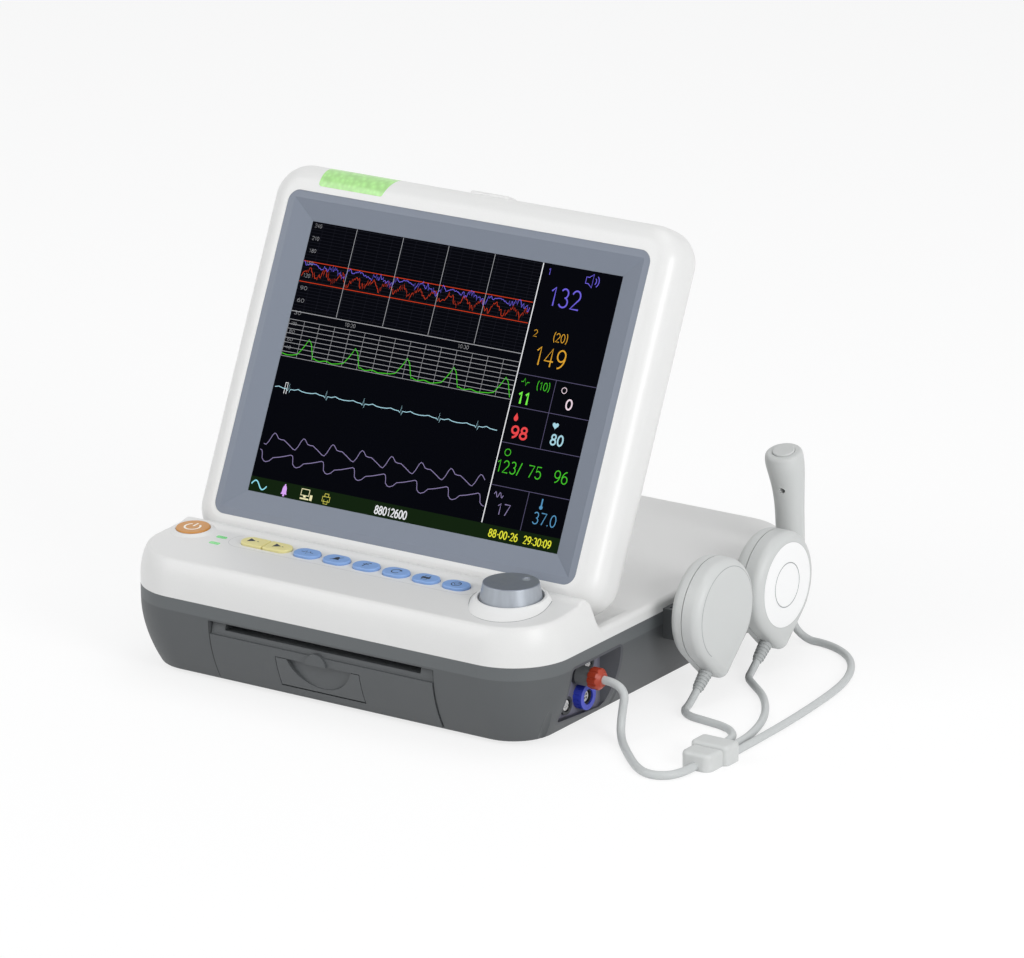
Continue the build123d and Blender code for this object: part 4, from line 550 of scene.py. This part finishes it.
def numeral(text, x, y, width, height, pen=0.09):
    """Numerals as pen strokes in a box of that width and height about x, y; pen is a share of the height."""
    total = sum(STROKES[sign][0] for sign in text) - SIGN_SPACE
    size = np.array([width / total, height])
    points, faces, count, start = [], [], 0, 0.0
    for sign in text:
        advance, lines = STROKES[sign]
        for line in lines:
            line = (np.array(line) + (start - total / 2, -0.5)) * size + (x, y)
            closed = np.allclose(line[0], line[-1])
            flat, shape = strip(line[:-1] if closed else line, pen * height, closed)
            points.append(flat)
            faces += [[index + count for index in face] for face in shape]
            count += len(flat)
        start += advance
    return np.concatenate(points), faces


def build(name, points, faces, finish_name, body, smooth=False):
    """Mesh piece in place, riding on a body, with a finish by name or a material of its own."""
    mesh = bpy.data.meshes.new(name)
    mesh.from_pydata(np.asarray(points, float).tolist(), [], faces)
    mesh.validate()
    if smooth:
        mesh.polygons.foreach_set("use_smooth", [True] * len(mesh.polygons))
    own = isinstance(finish_name, bpy.types.Material)
    mesh.materials.append(finish_name if own else WEAR[finish_name])
    piece = bpy.data.objects.new(name, mesh)
    bpy.context.scene.collection.objects.link(piece)
    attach(piece, body)
    return piece


def drawn(name, on, height, figures, finish_name, body):
    """One flat piece from several figures on a plane."""
    points, faces, count = [], [], 0
    for flat, shape in figures:
        points.append(lifted(on, flat, height))
        faces += [[index + count for index in face] for face in shape]
        count += len(flat)
    return build(name, np.concatenate(points), faces, finish_name, body)


TILT = math.radians(64.93)
HINGE = np.array([0.0, -64.0, 80.2])
GLASS_UP, GLASS_OUT = 110.8, 20.0    # middle of the glass from the hinge, along and out of the head
HEAD_UP = np.array([0.0, math.cos(TILT), math.sin(TILT)])
HEAD_OUT = np.array([0.0, -math.sin(TILT), math.cos(TILT)])
GLASS = plane(HINGE + GLASS_UP * HEAD_UP + GLASS_OUT * HEAD_OUT, (1, 0, 0), HEAD_UP)
SLOPE = math.radians(3.0)
KEYS = plane((0.0, -112.0, 84.3), (1, 0, 0), (0.0, math.cos(SLOPE), math.sin(SLOPE)))
KEY_TOP, POWER_TOP = 1.93, 2.53      # prints lie this far above the console


# ---------------------------------------------------------------- display picture

CHART_LEFT, CHART_RIGHT = -122.6, 60.8
TRACE_LEFT, TRACE_RIGHT = -122.5, 60.4
CHART_TOP = 92.0
CHART_FLOOR = 31.6
LOW_CHART_FLOOR, LOW_CHART_TOP = 0.2, 25.2
COLUMN_X, COLUMN_SPLIT, COLUMN_RIGHT = 61.8, 92.0, 122.9
COLUMN_ROWS = (18.1, -3.7, -27.9, -56.4)
BAR_TOP = -82.2
HEAVY_PEN, BOLD_PEN, FIRM_PEN, THIN_PEN = 0.20, 0.17, 0.16, 0.085
LAYERS = {"under": 0.05, "rules": 0.09, "limits": 0.10, "scale": 0.11, "signs": 0.12, "over": 0.13}


def picture(name, code, figures, layer="signs", lamp=None):
    """All figures of one lit colour, as one flat piece just above the glass."""
    drawn("picture_" + name, GLASS, LAYERS[layer], figures, lit("lit_" + (lamp or name), code), "screen_head")


def repeated(shape, start, period, end):
    """Points of a pattern given as (share of the period, height), repeated along the strip."""
    shape = np.asarray(shape, float)
    turns = np.arange(int(math.ceil((end - start) / period)))
    across = start + period * (turns[:, None] + shape[None, :, 0])
    height = np.broadcast_to(shape[None, :, 1], across.shape)
    points = np.stack([across.ravel(), height.ravel()], 1)
    return points[(points[:, 0] <= end) & (points[:, 0] >= TRACE_LEFT)]


def trace_of_rates():
    """Two jagged rate traces: slow swings of one period plus seeded steps, the upper and the lower one."""
    dice = np.random.default_rng(7)
    along = np.arange(-122.0, 59.5, 0.62)
    phase = ((along + 122.0) / 37.4) % 1.0
    turns, heights = [0, 0.06, 0.2, 0.42, 0.6, 0.84, 0.93, 1], [4.4, 1.2, 3.6, -0.4, 3.2, -2.4, -2.8, 4.4]
    swing = np.interp(phase, turns, heights)
    upper = 61.6 + swing * 0.75 + dice.uniform(-2.1, 2.1, along.size) * (0.3 + 0.9 * (phase > 0.4))
    hump = np.abs(np.sin(phase * math.pi * 3.0)) ** 1.6
    lower = 54.2 + 5.6 * hump + dice.uniform(-2.6, 2.6, along.size)
    return np.stack([along, upper], 1), np.stack([along, lower], 1)


def pressure_trace():
    """Five slow peaks with a steep fall, and small ripples between them."""
    rise_and_fall = ((-10.5, 1.7), (-6.8, 2.6), (-4.2, 6.2), (-2.2, 9.4), (0, 13.9), (2.6, 11.0), (4.6, 5.6),
                     (6.2, 1.4), (7.4, 1.9))
    points = [(-122.5, 1.9), (-118.0, 1.2)]
    for centre in (-103.4, -65.9, -24.2, 12.8, 53.8):
        points += [(centre + across, height) for across, height in rise_and_fall]
        points += [(centre + k, 1.3 + 0.5 * math.sin(3.1 * k)) for k in np.arange(8.2, 24.0, 1.7)]
    return sorted(point for point in points if point[0] < 60.6)


def heart():
    """Outline of a heart: x = 16 sin^3 t and y = 13 cos t - 5 cos 2t - 2 cos 3t - cos 4t, scaled."""
    t = np.radians(np.arange(0, 360, 12))
    across = 16 * np.sin(t) ** 3
    height = 13 * np.cos(t) - 5 * np.cos(2 * t) - 2 * np.cos(3 * t) - np.cos(4 * t)
    return np.stack([across, height], 1)[::-1] * 0.15


def display_charts():
    """Grids, scales, limits and the lower bar; gives back the upper rate trace for its own colour."""
    upper, lower = trace_of_rates()
    dim = [strip([(CHART_LEFT, v), (CHART_RIGHT, v)], 0.22) for v in np.arange(33.0, 91.5, 2.15)]
    dim += [strip([(u, 31.5), (u, CHART_TOP)], 0.16) for u in np.arange(-113.6, 60.0, 9.35)]
    picture("grid", "1f2029", dim, "under", "dim")
    picture("bar", "10210b", [block(-123.0, 123.0, -92.2, BAR_TOP)], "under")
    pale = [strip([(u, CHART_FLOOR), (u, 91.9)], 0.42) for u in (-86.7, -49.3, -13.0, 23.6)]
    pale += [strip([(-122.8, 30.9), (CHART_RIGHT, 30.9)], 0.5)]
    pale += [strip([(CHART_LEFT, v), (CHART_RIGHT, v)], 0.34)
             for v in np.linspace(LOW_CHART_FLOOR, LOW_CHART_TOP, 9)]
    pale += [strip([(u, LOW_CHART_FLOOR), (u, LOW_CHART_TOP)], 0.26)
             for u in np.arange(CHART_LEFT, 61.0, 12.25)]
    pale += [numeral(str(240 - 30 * i), -117.6, 89.6 - 8.5 * i, 5.4, 2.4) for i in range(8)]
    pale += [numeral(str(100 - 20 * i), -118.6, 22.6 - 5.4 * i, 4.2, 2.0) for i in range(4)]
    pale += [numeral("10:20", -74.5, 28.3, 8.5, 2.4), numeral("10:30", 16.0, 28.3, 8.5, 2.4)]
    picture("scale", "9b9ca0", pale, "scale")
    picture("white", "e6e7ea", [
        strip([(61.6, CHART_TOP), (61.6, -81.9)], 0.75),
        numeral("88012600", -8.8, -87.7, 25.0, 5.2, BOLD_PEN),
        strip([(-113.4, -24.5), (-113.4, -17.0), (-111.6, -17.0), (-111.6, -24.5)], 0.5)])
    red = [strip([(TRACE_LEFT, v), (TRACE_RIGHT, v)], 0.5) for v in (65.2, 51.3)]
    picture("red", "c33a1e", red + [strip(lower, 0.42)], "limits")
    return upper


def display_values(upper):
    """Numerals of the right column with their signs and rules, and the traces in the same colours."""
    drop = [(0.0, 3.2), (-1.5, 0.4), (-1.7, -0.8), (-0.9, -2.0), (0.0, -2.3), (0.9, -2.0), (1.7, -0.8),
            (1.5, 0.4)]
    picture("rose", "e8474a", [
        numeral("98", 73.6, -20.1, 12.0, 7.4, HEAVY_PEN),
        patch(np.array(drop) + (68.6, -10.8))])
    horn = [(96.2, 83.6), (96.2, 87.8), (98.4, 87.8), (101.4, 90.2), (101.4, 81.2), (98.4, 83.6)]
    picture("violet", "6f62dc", [
        strip(upper, 0.42),
        numeral("132", 83.6, 71.4, 23.6, 12.2, THIN_PEN),
        numeral("1", 67.6, 87.0, 1.8, 4.2, 0.12),
        strip(horn, 0.6, True),
        strip(arc(101.6, 85.7, 2.6, -48, 48, 12), 0.6),
        strip(arc(101.6, 85.7, 4.6, -48, 48, 14), 0.6)], "over")
    picture("amber", "d9a032", [
        numeral("149", 83.2, 31.6, 23.4, 12.0, THIN_PEN),
        numeral("2", 68.0, 45.8, 2.8, 4.4),
        numeral("(20)", 87.5, 45.4, 11.0, 5.6)])
    pulse = [(66.0, 13.2), (67.6, 13.2), (68.6, 15.6), (69.8, 10.8), (70.8, 13.2), (72.4, 13.2)]
    picture("green", "46c22c", [
        strip(pressure_trace(), 0.55),
        numeral("123/", 71.8, -43.4, 18.6, 7.8),
        numeral("75", 92.0, -43.4, 10.2, 7.8),
        numeral("96", 112.5, -43.3, 10.2, 7.8),
        numeral("(10)", 83.3, 12.4, 10.0, 5.2),
        strip(arc(68.6, -34.0, 2.2, 0, 360, 20), 0.5, True),
        strip(pulse, 0.5)])
    picture("lime", "74f24a", [numeral("11", 70.6, 2.4, 8.8, 7.6, HEAVY_PEN)])
    picture("pink", "ecd7e2", [
        numeral("0", 105.6, 3.9, 4.4, 6.4, BOLD_PEN),
        strip(arc(99.6, 12.4, 1.9, 0, 360, 20), 0.45, True)])
    beat = [(0, -21.2), (0.10, -21.0), (0.2, -20.3), (0.3, -21.0), (0.42, -21.2), (0.455, -22.2),
            (0.475, -17.4), (0.5, -23.6), (0.52, -21.0), (0.62, -21.1), (0.72, -20.1), (0.82, -21.0),
            (0.95, -21.3)]
    picture("cyan", "a8d5e2", [
        strip(repeated(beat, -94.2 - 30.15, 30.15, 57.0), 0.5),
        numeral("80", 102.9, -20.2, 9.2, 6.6, BOLD_PEN),
        patch(heart() + (99.4, -11.0))])
    first = [(0.0, -51.5), (0.06, -51.9), (0.17, -54.6), (0.26, -55.0), (0.36, -54.9), (0.56, -57.4),
             (0.72, -59.6), (0.80, -60.0), (0.87, -57.6), (0.95, -53.0)]
    second = [(0.0, -71.4), (0.1, -70.4), (0.2, -67.8), (0.4, -66.6), (0.6, -65.0), (0.74, -63.8),
              (0.80, -64.2), (0.83, -66.0), (0.86, -69.4), (0.93, -71.0)]
    along = np.linspace(0, 1, 17)
    picture("mauve", "8a7fa8", [
        strip(repeated(first, -112.7 - 23.6, 23.6, 58.6), 0.5),
        strip(repeated(second, -114.5 - 24.95, 24.95, TRACE_RIGHT), 0.5),
        numeral("17", 75.2, -71.2, 9.8, 7.2),
        strip(np.stack([66.0 + 7 * along, -62.2 + 1.7 * np.sin(along * 12.57)], 1), 0.5)])
    rules = [strip([(COLUMN_X, v), (COLUMN_RIGHT, v)], 0.4) for v in COLUMN_ROWS]
    rules += [strip([(COLUMN_SPLIT, COLUMN_ROWS[0]), (COLUMN_SPLIT, COLUMN_ROWS[2])], 0.4),
              strip([(91.7, COLUMN_ROWS[3]), (91.7, -82.0)], 0.4)]
    picture("rules", "575270", rules, "rules")
    picture("blue", "5794be", [
        numeral("37.0", 107.8, -72.2, 17.4, 7.6),
        strip([(103.0, -64.6), (103.0, -59.2)], 1.0),
        patch(arc(103.0, -65.0, 1.3, 0, 360, 16))])


def display_bar():
    """Signs and numerals of the lower bar."""
    along = np.linspace(0, 1, 25)
    wave = np.stack([-121.4 + 12.4 * along, -87.4 + 2.7 * np.sin(along * 6.283)], 1)
    picture("sine", "8fd9e8", [strip(wave, 0.9)])
    bell = [(-96.9, -90.2), (-92.1, -90.2), (-92.7, -88.9), (-92.8, -86.4), (-93.4, -84.7), (-94.5, -84.1),
            (-95.6, -84.7), (-96.2, -86.4), (-96.3, -88.9)]
    picture("bell", "d7a6f2", [
        patch(bell),
        patch(arc(-94.5, -90.9, 0.8, 0, 360, 12)),
        patch(arc(-94.5, -83.9, 0.6, 0, 360, 12))], lamp="lilac")
    picture("cream", "e9e3b4", [
        strip([(-81.0, -88.2), (-81.0, -84.0), (-74.6, -84.0), (-74.6, -88.2)], 0.7, True),
        block(-78.8, -76.8, -89.6, -88.2),
        block(-81.2, -74.2, -90.9, -89.9),
        block(-73.6, -71.6, -90.9, -87.2)])
    picture("olive", "c2bd55", [
        strip([(-63.6, -89.4), (-63.6, -86.2), (-57.8, -86.2), (-57.8, -89.4)], 0.6, True),
        strip([(-62.2, -86.2), (-62.2, -84.2), (-59.2, -84.2), (-59.2, -86.2)], 0.6),
        strip([(-62.2, -88.2), (-62.2, -91.0), (-59.2, -91.0), (-59.2, -88.2)], 0.5)])
    picture("yellow", "dfe03c", [numeral("88-00-26  29:30:09", 92.8, -87.4, 48.0, 4.8, FIRM_PEN)])


# ---------------------------------------------------------------- console marks

POWER_SPOT = (-141.8, 1.5)
YELLOW_KEYS_X = (-90.4, -70.6)
BLUE_START_X, BLUE_PITCH = -47.8, 23.6
SIGN_SCALE = 1.35
KNOB_SPOT = (114.0, -2.0)


def key_sign(colour, number, signs):
    """Dark print on one key, riding on it."""
    body = "key_%s_%d_cap" % (colour, number)
    drawn("%s_sign_%d" % (colour, number), KEYS, KEY_TOP, signs, "print_dark", body)


def key_marks():
    """Pictograms printed on the keys; each rides on its own key."""
    x, y = POWER_SPOT
    signs = [strip(arc(x, y - 0.6, 5.3, 124, 416, 40), 1.4), strip([(x, y + 0.2), (x, y + 6.0)], 1.4)]
    drawn("power_sign", KEYS, POWER_TOP, signs, "print_pale", "power_button_cap")
    for index, x in enumerate(YELLOW_KEYS_X):
        arrow = np.array([(-3.6, -2.9), (1.8, 0.0), (-3.6, 2.9)]) + (x - 1.0 + 0.6 * index, 0.3)
        signs = [patch(arrow), block(x + 2.0, x + 3.4, -0.3, 0.5)]
        key_sign("yellow", index + 1, signs)
    pulse = [(-3.4, 0), (-1.8, 0), (-1.0, 1.6), (0.2, -2.0), (1.2, 1.4), (1.8, 0), (3.4, 0)]
    bell = [(-2.0, -1.4), (2.0, -1.4), (1.4, -0.4), (1.2, 1.2), (0.0, 2.2), (-1.2, 1.2), (-1.4, -0.4)]
    figures = [
        [strip(pulse, 0.5)],
        [patch(bell), strip([(-2.6, -2.2), (2.6, 2.4)], 0.45)],
        [strip([(-0.9, -2.4), (-0.9, 1.8), (0.2, 2.4), (1.6, 2.2)], 0.6),
         strip([(-2.2, 0.5), (1.2, 0.5)], 0.5)],
        [strip(arc(0, 0, 2.3, 30, 330, 24), 0.55), patch([(1.2, 0.6), (2.9, 0.9), (1.9, 2.3)])],
        [block(-2.4, 2.4, -1.2, 0.8), strip([(-1.4, 0.8), (-1.4, 2.2), (1.4, 2.2), (1.4, 0.8)], 0.45),
         strip([(-1.4, -1.2), (-1.4, -2.4), (1.4, -2.4), (1.4, -1.2)], 0.45)],
        [strip(arc(0, 0, 2.4, 0, 360, 28), 0.5, True), strip([(-1.2, 0.1), (-0.3, -1.0), (1.4, 1.2)], 0.55)],
    ]
    for index, signs in enumerate(figures):
        middle = (BLUE_START_X + BLUE_PITCH * index, 0.0)
        key_sign("blue", index + 1, [(flat * SIGN_SCALE + middle, faces) for flat, faces in signs])


def console_groove_shades():
    """Painted shade in the fine moulded grooves round the key row and in front of the knob's collar: darker
    lines where the grooves are in shade.
    """
    half, radius, middle = 88.0, 10.6, -10.6
    ends = (arc(middle + half, 0.0, radius, -90, 90, 24), arc(middle - half, 0.0, radius, 90, 270, 24))
    drawn("key_row_groove_shade", KEYS, 0.03, [strip(np.concatenate(ends), 0.35, True)], "groove_shade_pale", "base")
    turn = np.radians(np.linspace(150, 390, 96))
    reach = 26.65 + 13.1 * np.maximum(0.0, np.cos(turn + math.radians(66))) ** 2.5
    loop = np.stack([reach * np.cos(turn), reach * np.sin(turn)], 1) + KNOB_SPOT
    drawn("collar_groove_shade", KEYS, 0.04, [strip(loop, 0.5)], "groove_shade_grey", "base")


INSERT_FACE_X = 155.0


def socket_hole_shades():
    """Painted shade of four contact holes in the face of each open socket's insert: dark discs where the
    holes are in shade.
    """
    ring = arc(0.0, 0.0, 1.6, 45, 405, 4)
    for index, place in enumerate(((-82.5, 39.6), (-90.0, 19.4), (-108.3, 18.0))):
        face = plane((INSERT_FACE_X, *place), (0, 1, 0), (0, 0, 1))
        holes = [patch(arc(y, z, 0.8, 0, 360, 16)) for y, z in ring]
        drawn("contact_hole_shade_%d" % (index + 1), face, 0.03, holes, "painted_shade_dark", "base")


def drawer_gap_shadows():
    """Painted shadow lines beside the drawer, dark strips where the gaps at its edges are in shade: y = front
    + draft * share^2, share falling to 0 at the band.
    """
    front, draft, band_z, drop = -166.46, 13.5, 48.0, 45.5
    z = np.linspace(4.6, 46.8, 28)
    share = np.clip((band_z - z) / drop, 0.0, 1.0)
    y = front + draft * share ** 2
    for name, low, high in (("drawer_gap_shadow_left", -89.4, -88.55), ("drawer_gap_shadow_right", 88.55, 89.0)):
        points = np.concatenate([np.column_stack([np.full(len(z), x), y, z]) for x in (high, low)])
        build(name, points * MM, ribbon_faces(len(z)), "painted_shade_dark", "base", True)


# ---------------------------------------------------------------- transducers

DISC_CENTRES = ((0.8, 59.5), (74.6, 57.8))
DISC_RADIUS, DISC_EDGE, DISC_FRONT = 35.5, 6.5, 206.0
# back and front x of the painted shade strip inside the transducers' split line
SPLIT_SHADE_BACK, SPLIT_SHADE_FRONT = 192.42, 192.98
TAIL_DROP, TAIL_RADIUS = 39.0, 6.5


def disc_height(radius):
    """Height of a transducer's face at a radius: flat, then a quarter round out to the rim."""
    past = np.clip(radius - (DISC_RADIUS - DISC_EDGE), 0, DISC_EDGE)
    return DISC_FRONT - (DISC_EDGE - np.sqrt(DISC_EDGE ** 2 - past ** 2))


def face_ring(name, centre, inner, outer, lift, finish_name, rows=3, count=96):
    """Ring that follows a transducer's rounded face: radius by angle grid, with x from the face's height."""
    radius = np.linspace(inner, outer, rows)
    angle = np.linspace(0, 2 * np.pi, count, endpoint=False)
    r, a = np.meshgrid(radius, angle, indexing="ij")
    points = np.stack([disc_height(r) + lift, centre[0] + r * np.cos(a), centre[1] + r * np.sin(a)], -1)
    index = np.arange(rows * count).reshape(rows, count)
    ahead = np.roll(index, -1, 1)
    faces = np.stack([index[:-1], index[1:], ahead[1:], ahead[:-1]], -1).reshape(-1, 4)
    build(name, points.reshape(-1, 3) * MM, faces.tolist(), finish_name, "base", True)


def drop_outline(inset, count=160):
    """Outline of a drop: in each direction the farther of the big circle's and the tail circle's point."""
    angle = np.linspace(0, 2 * np.pi, count, endpoint=False)
    out = np.stack([np.cos(angle), np.sin(angle)], 1)
    tail = np.array([0.0, -TAIL_DROP])
    big, small = DISC_RADIUS - inset, TAIL_RADIUS - inset
    on_tail = out @ tail + small > big
    return np.where(on_tail[:, None], tail + small * out, big * out)


def transducer_details():
    """Painted shade: dark strips in the split lines and darker rings in the face grooves, where they are in
    shade; and the white face of the second transducer.
    """
    for index, centre in enumerate(DISC_CENTRES):
        outline = drop_outline(0.9) + centre
        # painted shade: a dark strip inside the split line, where the groove is in shade
        rows = [np.column_stack([np.full(len(outline), x), outline]) for x in (SPLIT_SHADE_BACK, SPLIT_SHADE_FRONT)]
        build("split_line_shade_%d" % (index + 1), np.concatenate(rows) * MM, ribbon_faces(len(outline), True),
              "split_shade_grey", "base", True)
    # painted shade: darker rings where the face grooves are in shade
    face_ring("face_groove_shade_1", DISC_CENTRES[0], 30.7, 31.1, 0.03, "groove_shade_grey")
    white = plane((DISC_FRONT, *DISC_CENTRES[1]), (0, 1, 0), (0, 0, 1))
    drawn("face_white_2", white, 0.04, [patch(arc(0, 0, 28.6, 0, 360, 96))], "face_white", "base")
    drawn("face_ring_shade_2", white, 0.07, [strip(arc(0, 0, 15.0, 0, 360, 72), 0.7, True)], "groove_shade_grey", "base")
    face_ring("face_edge_shade_2", DISC_CENTRES[1], 28.6, 29.1, 0.05, "groove_shade_pale")


# ---------------------------------------------------------------- cords

def cord(name, points, diameter):
    """Smooth cord along its control points."""
    curve = bpy.data.curves.new(name, "CURVE")
    curve.dimensions = "3D"
    line = curve.splines.new("NURBS")
    line.points.add(len(points) - 1)
    line.points.foreach_set("co", np.column_stack([np.array(points) * MM, np.ones(len(points))]).ravel())
    line.order_u = 3
    line.use_endpoint_u = True
    line.resolution_u = 10
    piece = bpy.data.objects.new(name, curve)
    bpy.context.scene.collection.objects.link(piece)
    bare = bpy.data.meshes.new_from_object(piece)
    co = np.zeros(len(bare.vertices) * 3)
    bare.vertices.foreach_get("co", co)
    bpy.data.meshes.remove(bare)
    curve.bevel_depth = diameter / 2 * MM
    curve.bevel_resolution = 6
    curve.use_fill_caps = True
    curve.materials.append(WEAR["cord_grey"])
    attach(piece, "base")
    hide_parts(name.replace("_lead", "_cord"))


FLOOR_LAY = 2.6    # height of a branch cord's middle where it lies on the floor
MAIN_ROUTE = [
    (172.5, -95.0, 35.3), (190.0, -95.0, 35.3), (188.5, -99.0, 14.0), (192.5, -106.0, 2.8),
    (214.0, -130.0, 2.8), (234.0, -149.0, 2.8), (248.5, -152.0, 2.8), (259.5, -141.0, 2.8),
    (259.5, -124.0, 2.8)]
BRANCHES = {
    "transducer_1_lead": (
        [(252.5, -91.0), (252.5, -68.5), (247.5, -58.0), (237.0, -50.5), (220.3, -47.8), (205.5, -45.9),
         (197.2, -38.1), (195.0, -27.55)],
        [(195.0, -18.6, 10.1)]),
    "transducer_2_lead": (
        [(259.5, -91.0), (259.5, -66.0), (257.0, -49.0), (250.5, -27.0), (240.0, -6.0), (225.5, 14.0),
         (210.0, 27.5), (199.0, 37.5), (195.0, 48.28)],
        [(195.0, 55.2, 8.4)]),
    "marker_lead": (
        [(266.5, -91.0), (266.5, -45.0), (264.0, 5.0), (260.0, 46.0), (255.0, 70.0), (246.5, 91.0),
         (235.0, 107.5), (221.0, 118.5), (205.5, 124.2), (191.0, 124.0)],
        [(180.0, 122.0, 13.4), (180.0, 122.0, 28.0)]),
}


def cords():
    """Main cord from plug to junction, and the three branches: along the floor, then up to their ends."""
    cord("main_lead", MAIN_ROUTE, 5.6)
    for name, (lying, rising) in BRANCHES.items():
        cord(name, [(x, y, FLOOR_LAY) for x, y in lying] + rising, 5.2)


camera()
surroundings()
cords()
clad()
display_values(display_charts())
display_bar()
key_marks()
console_groove_shades()
socket_hole_shades()
drawer_gap_shadows()
transducer_details()
